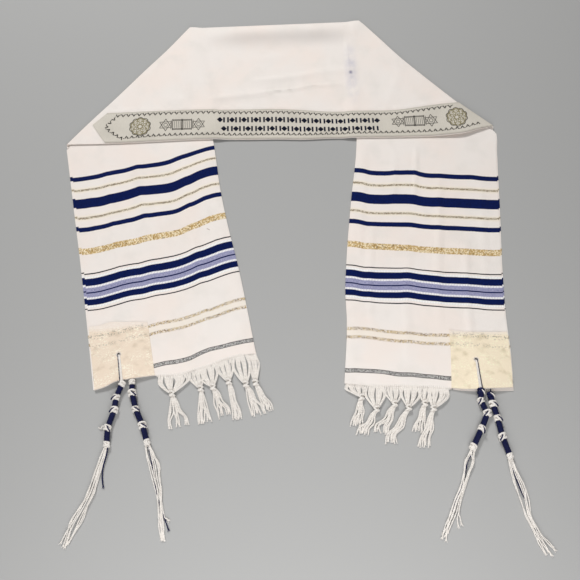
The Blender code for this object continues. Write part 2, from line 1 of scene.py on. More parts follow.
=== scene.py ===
from bisect import bisect
from functools import lru_cache, reduce
from itertools import product
from math import cos, exp, pi, radians, sin, sqrt, tan
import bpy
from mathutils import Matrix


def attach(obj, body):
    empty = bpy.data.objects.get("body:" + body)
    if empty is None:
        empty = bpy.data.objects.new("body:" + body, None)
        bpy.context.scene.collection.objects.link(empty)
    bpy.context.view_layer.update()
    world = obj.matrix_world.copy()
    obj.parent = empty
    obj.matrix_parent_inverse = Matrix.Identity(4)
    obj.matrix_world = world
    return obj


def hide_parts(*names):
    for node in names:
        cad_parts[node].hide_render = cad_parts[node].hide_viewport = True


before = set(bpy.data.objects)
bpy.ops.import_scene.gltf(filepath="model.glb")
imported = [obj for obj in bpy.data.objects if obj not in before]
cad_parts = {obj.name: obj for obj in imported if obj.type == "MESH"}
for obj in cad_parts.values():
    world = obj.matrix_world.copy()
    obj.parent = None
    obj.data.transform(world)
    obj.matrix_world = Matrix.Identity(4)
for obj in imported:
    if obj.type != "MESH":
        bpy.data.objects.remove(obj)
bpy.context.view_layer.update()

from types import SimpleNamespace

import bmesh
import bpy
import numpy as np
from mathutils import Matrix, Vector

# Lengths are in millimetres until they reach a mesh. Coordinates, as in the part's source:
# strip (x, w) along the middle and up from its long edge; end (u, v) in from an end's outer
# edge and down from the outer corner of its slanting fold; world (x, y, z).

MM = 0.001

# ---- the part's own sizes
WALL = 1.0
GAP = 0.3
PITCH = WALL + GAP
HALF_PITCH = PITCH / 2
PLY_A = 255.0
LOW = WALL / 2 + HALF_PITCH
HIGH = LOW + 2 * PITCH
TURN_Z = (LOW + HIGH) / 2
TURN_RADIUS = (HIGH - LOW) / 2
TURN_TAIL = 3.0
TAIL_CLEAR = 1.2
NOSE_CLEAR = WALL * 0.75
SETTLE = 4
EDGE_Y = 216.5
DROP_START = 6.0
DROP_RUN = 22.0
NECK_BOW = dict(
    x=(-382, -314, -111, -61, -1, 39, 91, 137, 217, 244, 291, 324, 347, 371, 384),
    edge=(0, -1.5, -1, -3, -5, -7.5, -7.5, -9.5, -12, -12.5, -12.5, -10.5, -4, 1.5, 3),
    head=(-1, -1, -1.5, -3, -5, -9, -15, -17, -18, -14.7, -9.5, -7, -5, -4, -4),
)
BOW_FADE = 110.0
TOP_SAG = 2.0
PUFF = dict(x=321.0, run=40.0, depth=46.0, rise=3.5, stop=4.0, stop_run=20.0)
BAND_FOOT = 1.5
BAND_HEAD = 63.0
BAND_TIP = dict(x=-336.9, w=39.0)
BAND_SHOULDER_X = -312.4
SIDES = {
    "left": dict(
        sign=-1, corner_x=381.6, slant=radians(50.4), b_inset=5.0,
        edges=dict(v=(-211, 0, 50, 100, 130, 220, 290, 450),
                   outer=(0, -1, -0.6, -0.2, 0, 1, 1, -0.4),
                   inner=(255, 255, 255.5, 253, 251, 250, 252.5, 252)),
        fold=dict(along=(0, 50, 130, 210, 260, 330), inset=(2.4, 2.4, 4.4, 5.0, 6.2, 4.6)),
        hem_top=dict(u=(5, 20, 38, 58, 95, 137, 153, 185, 200, 243, 255),
                     v=(447.5, 446.5, 442, 443, 445.5, 452, 450.6, 448, 445.2, 444.5, 446.5)),
        hem_under=dict(u=(0, 38, 58, 100, 137, 153, 185, 200, 243, 255),
                       v=(446, 441, 442, 445, 451.5, 450, 447.5, 445, 444.5, 446.5)),
        tuck_u=50.0, patch_u=96.5, patch_drop=(102.0, 87.0),
    ),
    "right": dict(
        sign=1, corner_x=385.8, slant=radians(48.4), b_inset=2.5,
        edges=dict(v=(-226, 0, 12, 50, 170, 280, 330, 370, 400, 440),
                   outer=(3, 5, 2.6, 2.8, 2.2, 2.2, 0.9, -1.6, -4.5, -6.4),
                   inner=(255, 250, 249, 247.3, 251.6, 253.6, 252.5, 248.4, 246.8, 246.5)),
        fold=dict(along=(0, 40, 80, 130, 180, 230, 280, 330),
                  inset=(5.6, 8.8, 11.8, 12.4, 12.2, 11, 7, 3.4)),
        hem_top=dict(u=(2.5, 36, 74, 99, 172, 209, 255),
                     v=(461.5, 466, 470, 469.5, 472.3, 475.3, 475)),
        hem_under=dict(u=(0, 36, 74, 99, 172, 209, 255),
                       v=(465.5, 469, 471.5, 471, 474, 476, 475.5)),
        tuck_u=44.0, patch_u=94.0, patch_drop=(87.0, 91.0),
    ),
}
TUCK_WIDTH = 32.0
TUCK_SHELF = dict(rise=2.4, start=78.0, run=28.0)
TUCK_LIP = dict(rise=2.6, start=30.0, run=30.0)
PATCH_INSET = 0.8
EYELET_RADIUS = 2.75
TASSELS = {
    ("left", "top"): dict(
        eyelet=(46, 401),
        knots=dict(u=(46, 34, 29, 16, 12), v=(447.8, 466, 484, 508, 531)),
        tails=dict(u=(-3, -18, -42, -60), v=(560, 592, 626, 652)),
    ),
    ("left", "under"): dict(
        eyelet=(62, 398),
        knots=dict(u=(61, 59, 61, 68, 71), v=(448.4, 465, 490, 516, 541)),
        tails=dict(u=(75, 77, 75, 74), v=(577, 611, 645, 674)),
    ),
    ("right", "top"): dict(
        eyelet=(56, 423),
        knots=dict(u=(51, 51, 42, 51, 64), v=(471.4, 485, 503, 526, 553)),
        tails=dict(u=(69, 79, 91, 100), v=(572, 610, 645, 677)),
    ),
    ("right", "under"): dict(
        eyelet=(38, 421),
        knots=dict(u=(37, 33, 27, 21, 11), v=(475.4, 489, 509, 535, 561)),
        tails=dict(u=(-2, -12, -24, -38), v=(602, 640, 666, 685)),
    ),
}

# ---- what the scene adds
CLOTH_WALL = 0.8                    # thickness of the shells that replace the cloth solids
THREAD_CLEAR = 0.1                  # threads lie at least this far above the surface
# near its corner, ply B's long edge drifts out this far
EDGE_DRIFT = {"left": 3.2, "right": 1.0}
DRIFT_PLACE = dict(v=290, run=70, depth=45)
FINE = 3.0                          # grid spacing of the plies that show
COARSE = 10.0                       # and of the hidden ones
FOLD_STEPS = 8                      # round the lengthwise fold
TURN_STEPS = 9                      # round a slanting fold
LINE_RUN = 14.0                     # the middle's relief rises over this from folds and edge
PUCKERS = dict(rise=1.1, above=5.0, width=3.4)      # beside the neckband's upper seam
PLUMP = dict(rise=0.9, u=243, width=8.0)            # beside the ends' lengthwise fold
MIDDLE_SHADE = dict(start=5, run=34.0)              # ends are flat until past the middle's edge
CREASE_FADE = 0.3                   # a crease fades out over this share of it at each end

# creases: from and to as (across, along), then width, height and sideways sway, one row each
MIDDLE_CREASES = (                  # (x, w)
    ((-175, 231), (180, 233), 18.0, 5.8, -3.0),
    ((-122, 214), (70, 212), 13.0, 1.2, 5.0),
    ((-40, 98), (60, 112), 1.8, 2.6, 1.5),
    ((18, 109), (125, 117), 2.2, 2.1, -1.5),
    ((-66, 124), (100, 143), 6.0, 2.1, 3.0),
    ((58, 141), (170, 146), 7.0, 1.4, 0.0),
    ((-142, 84), (8, 99), 7.0, 2.8, -3.0),
    ((-232, 92), (-150, 86), 9.0, 0.9, 2.0),
    ((131, 92), (129, 232), 3.0, 1.1, 1.0),
    ((144, 60), (138, 150), 8.0, 0.8, 2.0),
    ((-162, 60), (-192, 235), 6.0, 0.9, 3.0),
    ((188, 70), (230, 150), 9.0, 0.9, 3.0),
    ((-62, 170), (28, 176), 10.0, 0.8, -2.0),
    ((-250, 120), (-215, 200), 7.0, 0.8, 2.0),
)
END_CREASES = {                     # (u, v)
    "left": (
        ((60, 20), (61, 330), 7.0, 1.4, 3.0),
        ((118, 30), (122, 230), 6.0, 1.5, -2.0),
        ((198, 40), (187, 430), 7.0, 1.7, 3.0),
        ((152, 260), (160, 440), 6.0, 1.1, 2.0),
        ((92, 120), (88, 330), 8.0, 1.0, -3.0),
        ((20, 300), (130, 340), 9.0, 0.9, 3.0),
        ((226, 120), (232, 330), 5.0, 1.0, 1.0),
        ((30, 60), (34, 240), 6.0, 0.9, 0.0),
    ),
    "right": (
        ((58, 200), (58, 430), 6.0, 1.5, 2.0),
        ((106, 60), (109, 400), 7.0, 1.6, -3.0),
        ((147, 20), (146, 180), 4.0, 1.4, 1.0),
        ((150, 200), (160, 460), 7.0, 1.1, 3.0),
        ((214, 180), (216, 400), 6.0, 1.5, 2.0),
        ((30, 80), (28, 330), 7.0, 1.0, 1.0),
        ((188, 40), (184, 180), 6.0, 1.1, -2.0),
        ((236, 60), (232, 330), 5.0, 0.9, 1.0),
    ),
}


# ---- shaping, as the part's source
def smooth(t):
    t = min(max(t, 0.0), 1.0)
    return t * t * (3 - 2 * t)


def bell(t):
    return exp(-t * t)


def fade(distance, depth):
    return max(0.0, 1.0 - distance / depth)


def hermite(t, h, start, end, start_slope, end_slope):
    """The cubic over a step of length h, at share t of it."""
    return ((1 + 2 * t) * (1 - t) ** 2 * start + t * (1 - t) ** 2 * h * start_slope
            + t * t * (3 - 2 * t) * end + t * t * (t - 1) * h * end_slope)


@lru_cache(maxsize=None)
def slopes_of(xs, ys):
    return tuple(float(slope) for slope in np.gradient(np.array(ys, float), np.array(xs, float)))


def curve_through(x, xs, ys):
    slopes = slopes_of(xs, ys)
    i = min(max(bisect(xs, x) - 1, 0), len(xs) - 2)
    h = xs[i + 1] - xs[i]
    t = min(max((x - xs[i]) / h, 0.0), 1.0)
    return hermite(t, h, ys[i], ys[i + 1], slopes[i], slopes[i + 1])


def hem(side, ply, u):
    table = SIDES[side]["hem_under" if ply == "under" else "hem_top"]
    return curve_through(u, table["u"], table["v"])


@lru_cache(maxsize=None)
def end_axes(side):
    s = SIDES[side]
    lean = 2 * s["slant"] - pi / 2
    return ((s["sign"] * s["corner_x"], EDGE_Y), (-s["sign"] * sin(lean), -cos(lean)),
            (-s["sign"] * cos(lean), sin(lean)))


def laid_u(side, u, v):
    edges = SIDES[side]["edges"]
    outer = curve_through(v, edges["v"], edges["outer"])
    inner = curve_through(v, edges["v"], edges["inner"])
    return outer + (inner - outer) * u / PLY_A


def end_plan(side, u, v):
    corner, down, across = end_axes(side)
    laid = laid_u(side, u, v)
    return tuple(corner[i] + across[i] * laid + down[i] * v for i in (0, 1))


def fold_inset(side, along):
    fold = SIDES[side]["fold"]
    return curve_through(along, fold["along"], fold["inset"])


def end_start(side, u):
    slant = SIDES[side]["slant"]
    clear = TURN_TAIL + TAIL_CLEAR + (NOSE_CLEAR if u >= PLY_A else 0.0)
    v = -u / tan(slant)
    for _ in range(SETTLE):
        across = laid_u(side, u, v)
        inset = fold_inset(side, across * sin(slant) - v * cos(slant))
        v = -across / tan(slant) + (clear + inset) / sin(slant)
    return v


def tuck_lift(side, u, v):
    above_hem = hem(side, "top", u) - v
    shelf = TUCK_SHELF["rise"] * smooth((TUCK_SHELF["start"] - above_hem) / TUCK_SHELF["run"])
    lip = TUCK_LIP["rise"] * smooth((TUCK_LIP["start"] - above_hem) / TUCK_LIP["run"])
    return bell((u - SIDES[side]["tuck_u"]) / TUCK_WIDTH) * (shelf + lip)


@lru_cache(maxsize=None)
def slant_x(side, y):
    s = SIDES[side]
    along, inset = (y - EDGE_Y) / sin(s["slant"]), 0.0
    for _ in range(SETTLE):
        inset = fold_inset(side, along)
        along = (y - EDGE_Y + inset * cos(s["slant"])) / sin(s["slant"])
    return s["sign"] * (s["corner_x"] - along * cos(s["slant"]) - inset * sin(s["slant"]))


@lru_cache(maxsize=None)
def inner_fold_line(side):
    outermost = PLY_A + HALF_PITCH + WALL / 2
    return end_plan(side, outermost, -200), end_plan(side, outermost, 50)


def inner_fold_x(side, y):
    top, foot = inner_fold_line(side)
    return foot[0] + (top[0] - foot[0]) * (y - foot[1]) / (top[1] - foot[1])


def bow(x, w):
    edge = curve_through(x, NECK_BOW["x"], NECK_BOW["edge"])
    head = curve_through(x, NECK_BOW["x"], NECK_BOW["head"])
    if w < BAND_HEAD:
        return edge + (head - edge) * w / BAND_HEAD
    sag = TOP_SAG * smooth((w - BAND_HEAD) / (PLY_A - BAND_HEAD))
    return head * (1 - smooth((w - BAND_HEAD) / BOW_FADE)) - sag


def middle_height(x, y, w):
    past_left = (x - inner_fold_x("left", y) - DROP_START) / DROP_RUN
    past_right = (inner_fold_x("right", y) - x - DROP_START) / DROP_RUN
    lowered = smooth(past_left) * smooth(past_right)
    puff = PUFF["rise"] * bell((x - PUFF["x"]) / PUFF["run"]) * fade(w, PUFF["depth"]) ** 2
    puff *= smooth((slant_x("right", y) - x - PUFF["stop"]) / PUFF["stop_run"])
    return HIGH - (HIGH - LOW) * lowered + puff


def fold_lines(w):
    """Strip x of the two slanting folds at w."""
    found = []
    for side in SIDES:
        line_x = slant_x(side, EDGE_Y + w)
        for _ in range(SETTLE):
            line_x = slant_x(side, EDGE_Y + w + bow(line_x, w))
        found.append(line_x)
    return found


@lru_cache(maxsize=None)
def fold_lines_near(w):
    return fold_lines(float(w))


# ---- relief of the plies that show
def crease_lift(a, b, creases):
    """Height of the creases at (a, b), each fading out at its ends."""
    total = 0.0
    for (a0, b0), (a1, b1), width, height, sway in creases:
        run_a, run_b = a1 - a0, b1 - b0
        length = sqrt(run_a * run_a + run_b * run_b)
        t = ((a - a0) * run_a + (b - b0) * run_b) / (length * length)
        if t <= 0 or t >= 1:
            continue
        off = ((a - a0) * run_b - (b - b0) * run_a) / length - sway * sin(pi * t)
        if abs(off) < 3 * width:
            total += (height * bell(off / width)
                      * smooth(t / CREASE_FADE) * smooth((1 - t) / CREASE_FADE))
    return total


def rolling(a, b):
    """Slight unevenness all over, from 0 to about 0.5."""
    wave = sin(a / 23.0 + 1.1 * sin(b / 61.0)) * sin(b / 37.0 + 0.7 * sin(a / 43.0) + 0.8)
    ripple = sin(a / 9.3 + 2.1 * sin(b / 29.0) + 0.4) * sin(b / 71.0 + 2.0)
    return 0.25 + 0.17 * wave + 0.08 * ripple


def middle_lift(x, w):
    """Relief of the middle's upper ply, with what is sewn on it."""
    left_line, right_line = fold_lines_near(round(w))
    edge = smooth((PLY_A - w) / 10.0) * smooth((w + 4) / LINE_RUN)
    edge *= smooth((x - left_line) / LINE_RUN) * smooth((right_line - x) / LINE_RUN)
    on_band = 1 - 0.65 * smooth((BAND_HEAD + 6 - w) / 10.0)
    seam = PUCKERS["rise"] * bell((w - BAND_HEAD - PUCKERS["above"]) / PUCKERS["width"])
    puckers = seam * (0.5 + 0.5 * sin(x / 4.1 + sin(x / 17.0)))
    return edge * (on_band * (rolling(x, w) + crease_lift(x, w, MIDDLE_CREASES)) + puckers)


def end_lift(side, u, v):
    """Relief of an end's upper ply, with what is sewn on it; none beneath the middle."""
    x, y = end_plan(side, u, v)
    clear = smooth((EDGE_Y + bow(x, 0) - MIDDLE_SHADE["start"] - y) / MIDDLE_SHADE["run"])
    if clear == 0:
        return 0.0
    edge = smooth((PLY_A - u) / 6.0)
    plump = PLUMP["rise"] * bell((u - PLUMP["u"]) / PLUMP["width"])
    return clear * edge * (rolling(u + 300, v) + crease_lift(u, v, END_CREASES[side]) + plump)


def end_point(side, u, v, n):
    """World point on an end, n off the mid-plane: ply A is +, below, and ply B is -, above."""
    if n > 0:
        return *end_plan(side, u, v), LOW - n
    drift = EDGE_DRIFT[side] * smooth((v - DRIFT_PLACE["v"]) / DRIFT_PLACE["run"])
    x, y = end_plan(side, u - drift * fade(u, DRIFT_PLACE["depth"]), v)
    return x, y, LOW - n + tuck_lift(side, u, v) + end_lift(side, u, v)


def middle_point(x, w, n):
    """World point of the strip, bent under wherever it passes a slanting fold."""
    y = EDGE_Y + w + bow(x, w)
    for side in SIDES:
        s = SIDES[side]
        inward = (-s["sign"] * sin(s["slant"]), -cos(s["slant"]))
        fold_way = (-s["sign"] * cos(s["slant"]), sin(s["slant"]))
        from_x, from_y = x - s["sign"] * s["corner_x"], y - EDGE_Y
        along = from_x * fold_way[0] + from_y * fold_way[1]
        distance = from_x * inward[0] + from_y * inward[1] - fold_inset(side, along)
        if distance >= 0:
            continue
        turned = min(-distance / TURN_RADIUS, pi)
        shift = -(TURN_RADIUS + n) * sin(turned) + max(0.0, -distance - pi * TURN_RADIUS)
        return (x - distance * inward[0] + inward[0] * shift,
                y - distance * inward[1] + inward[1] * shift,
                TURN_Z + (TURN_RADIUS + n) * cos(turned))
    lift = middle_lift(x, w) if n > 0 else 0.0
    return x, y, middle_height(x, y, w) + n + lift


# ---- the woven pattern on the ends
PATTERN_OFFSET = {
    "left": ((0, 25, 50, 75, 95, 117, 135, 160, 175, 190, 207, 225, 240, 255),
             (73.5, 76.5, 76, 74.5, 75.3, 73.5, 75, 76.5, 75.2, 71.5, 68.8, 66, 64.5, 64)),
    "right": ((0, 30, 47, 62, 90, 112, 130, 152, 175, 205, 228, 245, 255),
              (102, 103.5, 102.3, 103, 104, 104.5, 104.3, 101.5, 103, 106, 106.3, 104, 103.5)),
}
DRIFT_U = (0, 25, 50, 75, 100, 125, 150, 175, 200, 225, 250)
STRIPE_DRIFT = {                    # for each p, how much farther down the photo's stripes lie
    "left": {0: (-0.4, -0.8, 0.4, 0.6, 0.4, 0.7, 0.6, 1.1, 1.6, 2.2, 1.8),
             49: (-0.6, -0.6, 1.7, 2.2, 0, -0.1, 0.8, 2.8, 2.9, -0.5, -0.4),
             97: (1.3, 1.5, 2.1, 2.4, 1.7, 1.1, 0.7, 2.4, 2.2, -0.7, -0.9),
             139: (0.4, 0.1, 0.1, 0.7, 0.7, 0.4, -0.6, 0.3, 0.5, -1.3, -1.2),
             210: (3.6, 3.1, 2.3, 2.2, 2.8, 3.6, 2.4, 0.6, 1.7, 1.7, 1.4),
             290: (0, 0, 0, 0, 0.5, 0.9, -0.8, -2.4, 0.3, 0.1, 0.6),
             358: (0, 0, 0, 0, 0.4, 1.8, -0.1, -6.3, -4.6, -3, -1)},
    "right": {0: (1.6, 0.9, 0.8, 1, 0.3, 0.7, 0, 0.1, 0.6, 0.6, 0.2),
              49: (1.7, 1.7, 3.2, 2.5, 2.9, 3, 3.2, 2.7, 2.8, 2.9, 2.7),
              97: (1, 1.6, 2.4, 1.8, 2.1, 1.9, 3, 2.8, 1.8, 1.7, 1.5),
              139: (2, 2.7, 4.1, 3.3, 3.8, 3.3, 5.5, 4.5, 2.5, 2.4, 3),
              210: (2.4, 2.6, 3.7, 3.1, 3.1, 1.3, 2.4, 3.1, 2.4, 2.3, 3.1),
              290: (0, 0, 0, 0, 0, 1.3, 3.6, 2.7, -0.6, -3, 1.4),
              358: (0, 0, 0, 0, 0.1, -0.8, 1.6, 1.2, -3.3, -3.5, 1)},
}
# how the ends' stripes drift from straight: the right's with v, the left's near the hem
RIGHT_LAG = dict(v=(200, 291, 387, 454), p=(0, -3.7, -6.5, -7.5))
LEFT_SKEW = dict(outer=-3, change=6, u=140, u_run=110, v=370, v_run=50)
PLY_A_SHIFT = 3.0       # how far ply A's stripes lie from ply B's
PLY_A_LAST = 345.0      # beneath a patch ply A's pattern stops before the hem line
PATTERN_SHIFT = {"left": 0.0, "right": 600.0}   # keeps the two ends' yarns and marks unlike


def pattern_p(side, u, v, ply):
    """Where (u, v) lies along the woven pattern, from the middle of its first stripe."""
    p = v - curve_through(u, *PATTERN_OFFSET[side])
    if side == "right":
        p -= curve_through(v, RIGHT_LAG["v"], RIGHT_LAG["p"])
    else:
        k = LEFT_SKEW
        skew = k["outer"] + k["change"] * smooth((u - k["u"]) / k["u_run"])
        p -= skew * smooth((v - k["v"]) / k["v_run"])
    drift = STRIPE_DRIFT[side]
    p -= curve_through(p, tuple(drift),
                       tuple(curve_through(u, DRIFT_U, row) for row in drift.values()))
    if ply != "under":
        return p
    p += PLY_A_SHIFT
    return min(p, PLY_A_LAST) if u < SIDES[side]["patch_u"] else p


# ---- meshes
CLOTH_SHARP, THREAD_SHARP = 50, 60      # degrees at which an edge is drawn sharp


def to_object(name, mesh, *finishes):
    made = bpy.data.objects.new(name, mesh)
    bpy.context.scene.collection.objects.link(made)
    for finish in finishes:
        mesh.materials.append(finish)
    return made


def smooth_faces(mesh, angle):
    mesh.polygons.foreach_set("use_smooth", [True] * len(mesh.polygons))
    mesh.set_sharp_from_angle(angle=radians(angle))


def mesh_with_uv(name, verts, faces, corner_uvs, layer_name):
    """A mesh of points in metres, with a uv for each corner of each face in turn."""
    mesh = bpy.data.meshes.new(name)
    mesh.from_pydata(verts, [], faces)
    layer = mesh.uv_layers.new(name=layer_name)
    layer.data.foreach_set("uv", np.array(corner_uvs).ravel())
    return mesh


def shell(name, grid, finish, cutter=None):
    """A thin shell on a grid of rows of (world point, uv in mm), with a hole at a cutter."""
    rows, columns = len(grid), len(grid[0])
    verts = [[MM * value for value in spot[0]] for row in grid for spot in row]
    uvs = [(MM * spot[1][0], MM * spot[1][1]) for row in grid for spot in row]
    faces = []
    for r in range(rows - 1):
        for c in range(columns - 1):
            i = r * columns + c
            faces.append((i, i + 1, i + columns + 1, i + columns))
    corner_uvs = [uvs[i] for face in faces for i in face]
    made = to_object(name, mesh_with_uv(name, verts, faces, corner_uvs, "cloth"), finish)
    wall = made.modifiers.new("wall", "SOLIDIFY")
    wall.thickness = CLOTH_WALL * MM
    wall.offset = 0.0
    wall.use_even_offset = True
    if cutter:
        cut = made.modifiers.new("hole", "BOOLEAN")
        cut.operation = "DIFFERENCE"
        cut.object = cutter
        cut.solver = "EXACT"
    depsgraph = bpy.context.evaluated_depsgraph_get()
    solid = bpy.data.meshes.new_from_object(made.evaluated_get(depsgraph))
    solid.name = name
    made.modifiers.clear()
    made.data = solid
    smooth_faces(solid, CLOTH_SHARP)
    return made


def ways_along(points):
    """Unit directions along a path."""
    ways = np.gradient(points, axis=0)
    return ways / (np.linalg.norm(ways, axis=1)[:, None] + 1e-12)


class Threads:
    """Round threads gathered into one mesh; uv is (distance along, share of the way round)."""

    def __init__(self):
        self.verts, self.faces, self.uvs, self.slots = [], [], [], []

    def face(self, corners, uvs, slot):
        self.faces.append(corners)
        self.uvs.extend(uvs)
        self.slots.append(slot)

    def add(self, points, radius, sides=5, slot=0):
        """A closed tube along points; radius is one number or one for each point."""
        points = np.asarray(points, float)
        count = len(points)
        radii = np.broadcast_to(np.asarray(radius, float), (count,))
        ways = ways_along(points)
        start = np.array([0.0, 0.0, 1.0])
        if abs(ways[0] @ start) > 0.9:
            start = np.array([1.0, 0.0, 0.0])
        normal = start - ways[0] * (start @ ways[0])
        normal /= np.linalg.norm(normal)
        turn = np.arange(sides) * 2 * pi / sides
        first = len(self.verts)
        along = [0.0]
        for i in range(count):
            if i:
                normal = normal - ways[i] * (normal @ ways[i])
                normal /= np.linalg.norm(normal) + 1e-12
                along.append(along[-1] + float(np.linalg.norm(points[i] - points[i - 1])))
            other = np.cross(ways[i], normal)
            ring = points[i] + radii[i] * (np.cos(turn)[:, None] * normal
                                           + np.sin(turn)[:, None] * other)
            ring[:, 2] += max(0.0, THREAD_CLEAR - ring[:, 2].min())
            self.verts.extend((ring * MM).tolist())
        for i in range(count - 1):
            near, far = along[i] * MM, along[i + 1] * MM
            for k in range(sides):
                a, b = first + i * sides + k, first + i * sides + (k + 1) % sides
                left, right = k / sides, (k + 1) / sides
                self.face((a, b, b + sides, a + sides),
                          ((near, left), (near, right), (far, right), (far, left)), slot)
        last = first + (count - 1) * sides
        for base, order in ((first, range(sides - 1, -1, -1)), (last, range(sides))):
            self.face(tuple(base + k for k in order), [(0.0, 0.0)] * sides, slot)

    def make(self, name, *finishes):
        mesh = mesh_with_uv(name, self.verts, self.faces, self.uvs, "thread")
        mesh.polygons.foreach_set("material_index", self.slots)
        smooth_faces(mesh, THREAD_SHARP)
        return to_object(name, mesh, *finishes)


def path_through(spots, count):
    """A smooth path of count points through spots of any dimension."""
    spots = np.asarray(spots, float)
    steps = np.linalg.norm(np.diff(spots[:, :2], axis=0), axis=1) + 1e-6
    marks = np.concatenate([[0], np.cumsum(steps)])
    slopes = np.gradient(spots, marks, axis=0)
    where = np.linspace(0, marks[-1], count)
    i = np.clip(np.searchsorted(marks, where, side="right") - 1, 0, len(spots) - 2)
    h = (marks[i + 1] - marks[i])[:, None]
    t = ((where - marks[i]) / h[:, 0])[:, None]
    return hermite(t, h, spots[i], spots[i + 1], slopes[i], slopes[i + 1])


def laid_path(side, spots, count):
    """World points of a smooth path through (u, v, z) spots on an end."""
    return np.array([(*end_plan(side, u, v), z) for u, v, z in path_through(spots, count)])


STRAND_SHARE = 0.54                 # a twisted strand's radius, as a share of its cord's


def twisted(threads, points, radius, pitch, slot=0, phase=0.0, sides=5, taper=1.0):
    """A cord of two strands twisted round each other along a path."""
    points = np.asarray(points, float)
    ways = ways_along(points)
    across = np.cross(ways, (0.0, 0.0, 1.0))
    across /= np.linalg.norm(across, axis=1)[:, None] + 1e-9
    rise = np.cross(across, ways)
    steps = np.concatenate([[0], np.cumsum(np.linalg.norm(np.diff(points, axis=0), axis=1))])
    scale = np.broadcast_to(np.asarray(taper, float), (len(points),))
    strand = radius * STRAND_SHARE
    orbit = ((radius - strand) * scale)[:, None]
    for share in (0.0, 0.5):
        turn = phase + 2 * pi * (steps / pitch + share)
        aside = np.cos(turn)[:, None] * across + np.sin(turn)[:, None] * rise
        threads.add(points + orbit * aside, strand * scale, sides, slot)


def cord_taper(count, *last):
    """A cord's thickness along its points: full, and these shares at its last ones."""
    return np.concatenate([np.ones(count - len(last)), last])


def fray(threads, path, back, hairs, radii, slot=0):
    """Fine hairs at a cord's end: (start, bend, bend aside, reach, reach aside) for each."""
    way = path[-1] - path[-back]
    way = way / (np.linalg.norm(way) + 1e-9)
    aside = np.array([-way[1], way[0], 0])
    for start, bend, bend_aside, reach, reach_aside in hairs:
        threads.add([path[-1] - way * start, path[-1] + way * bend + aside * bend_aside,
                     path[-1] + way * reach + aside * reach_aside], radii, 4, slot)


# ---- materials
def srgb(code):
    """A colour from its hex code, made linear."""
    values = [int(code[i:i + 2], 16) / 255 for i in (0, 2, 4)]
    linear = [v / 12.92 if v <= 0.04045 else ((v + 0.055) / 1.055) ** 2.4 for v in values]
    return (*linear, 1.0)


class Graph:
    """A material's node tree, with short ways to write its maths."""

    def __init__(self, name, roughness=0.9, sheen=0.0, specular=0.3):
        self.material = bpy.data.materials.new(name)
        self.material.use_nodes = True
        self.tree = self.material.node_tree
        self.shader = self.tree.nodes["Principled BSDF"]
        for socket, value in (("Roughness", roughness), ("Sheen Weight", sheen),
                              ("Sheen Roughness", 0.5), ("Specular IOR Level", specular)):
            self.shader.inputs[socket].default_value = value

    def put(self, socket, value):
        if isinstance(value, bpy.types.NodeSocket):
            self.tree.links.new(value, socket)
        else:
            socket.default_value = value

    def node(self, kind, inputs=None, **settings):
        """A new node with those settings, and with inputs by name or number."""
        made = self.tree.nodes.new(kind)
        for key, value in settings.items():
            setattr(made, key, value)
        for key, value in (inputs or {}).items():
            self.put(made.inputs[key], value)
        return made

    def math(self, operation, *values):
        inputs = dict(enumerate(values))
        return self.node("ShaderNodeMath", inputs, operation=operation).outputs[0]

    def times(self, *values):
        return reduce(lambda a, b: self.math("MULTIPLY", a, b), values)

    def plus(self, a, b):
        return self.math("ADD", a, b)

    def minus(self, a, b):
        return self.math("SUBTRACT", a, b)

    def any_of(self, *masks):
        return reduce(lambda a, b: self.math("MAXIMUM", a, b), masks)

    def wave(self, value, pitch):
        return self.math("SINE", self.times(value, 2 * pi / pitch))

    def ramp(self, value, low, high):
        """0 at low to 1 at high, smoothly."""
        inputs = {"Value": value, "From Min": low, "From Max": high}
        return self.node("ShaderNodeMapRange", inputs, interpolation_type="SMOOTHSTEP").outputs[0]

    def mix(self, share, first, second):
        inputs = {0: share, 6: first, 7: second}
        return self.node("ShaderNodeMix", inputs, data_type="RGBA").outputs[2]

    def lay(self, ground, colour, mask, share):
        """That share of a colour over the ground, where the mask is 1."""
        return self.mix(self.times(mask, share), ground, colour)

    def coordinates(self):
        """The uv map in millimetres, as separate values."""
        uv = self.node("ShaderNodeUVMap").outputs[0]
        grown = self.node("ShaderNodeVectorMath", {0: uv, "Scale": 1 / MM}, operation="SCALE")
        apart = self.node("ShaderNodeSeparateXYZ", {0: grown.outputs[0]})
        self.a, self.b = apart.outputs[0], apart.outputs[1]
        return self.a, self.b

    def vector(self, x, y, z=0.0):
        return self.node("ShaderNodeCombineXYZ", {0: x, 1: y, 2: z}).outputs[0]

    def noise(self, vector, scale, detail=2.0, roughness=0.5):
        inputs = {"Vector": vector, "Scale": scale, "Detail": detail, "Roughness": roughness}
        return self.node("ShaderNodeTexNoise", inputs).outputs["Fac"]

    def speckle(self, layer, scale, detail=2.0, roughness=0.5, stretch=(1, 1)):
        """Noise over the surface; layer sets it apart from other noise."""
        a, b = [axis if share == 1 else self.times(axis, share)
                for axis, share in zip((self.a, self.b), stretch)]
        return self.noise(self.vector(a, b, layer), scale, detail, roughness)

    def band(self, coordinate, centre, width, soft=0.25):
        """1 within a band of that width, 0 outside it."""
        off = self.math("ABSOLUTE", self.minus(coordinate, centre))
        return self.ramp(off, width / 2 + soft, width / 2 - soft)

    def bands(self, coordinate, rows):
        """1 within any of some bands, a row of (centre, width) or (centre, width, soft) each."""
        return self.any_of(*[self.band(coordinate, *row) for row in rows])

    def finish(self, colour, height=None, depth=0.1, roughness=None):
        """Connects colour, bump of that depth in mm, and roughness."""
        self.put(self.shader.inputs["Base Color"], colour)
        if roughness is not None:
            self.put(self.shader.inputs["Roughness"], roughness)
        if height is not None:
            inputs = {"Strength": 1.0, "Distance": depth * MM, "Height": height}
            bump = self.node("ShaderNodeBump", inputs)
            self.put(self.shader.inputs["Normal"], bump.outputs[0])
        return self.material


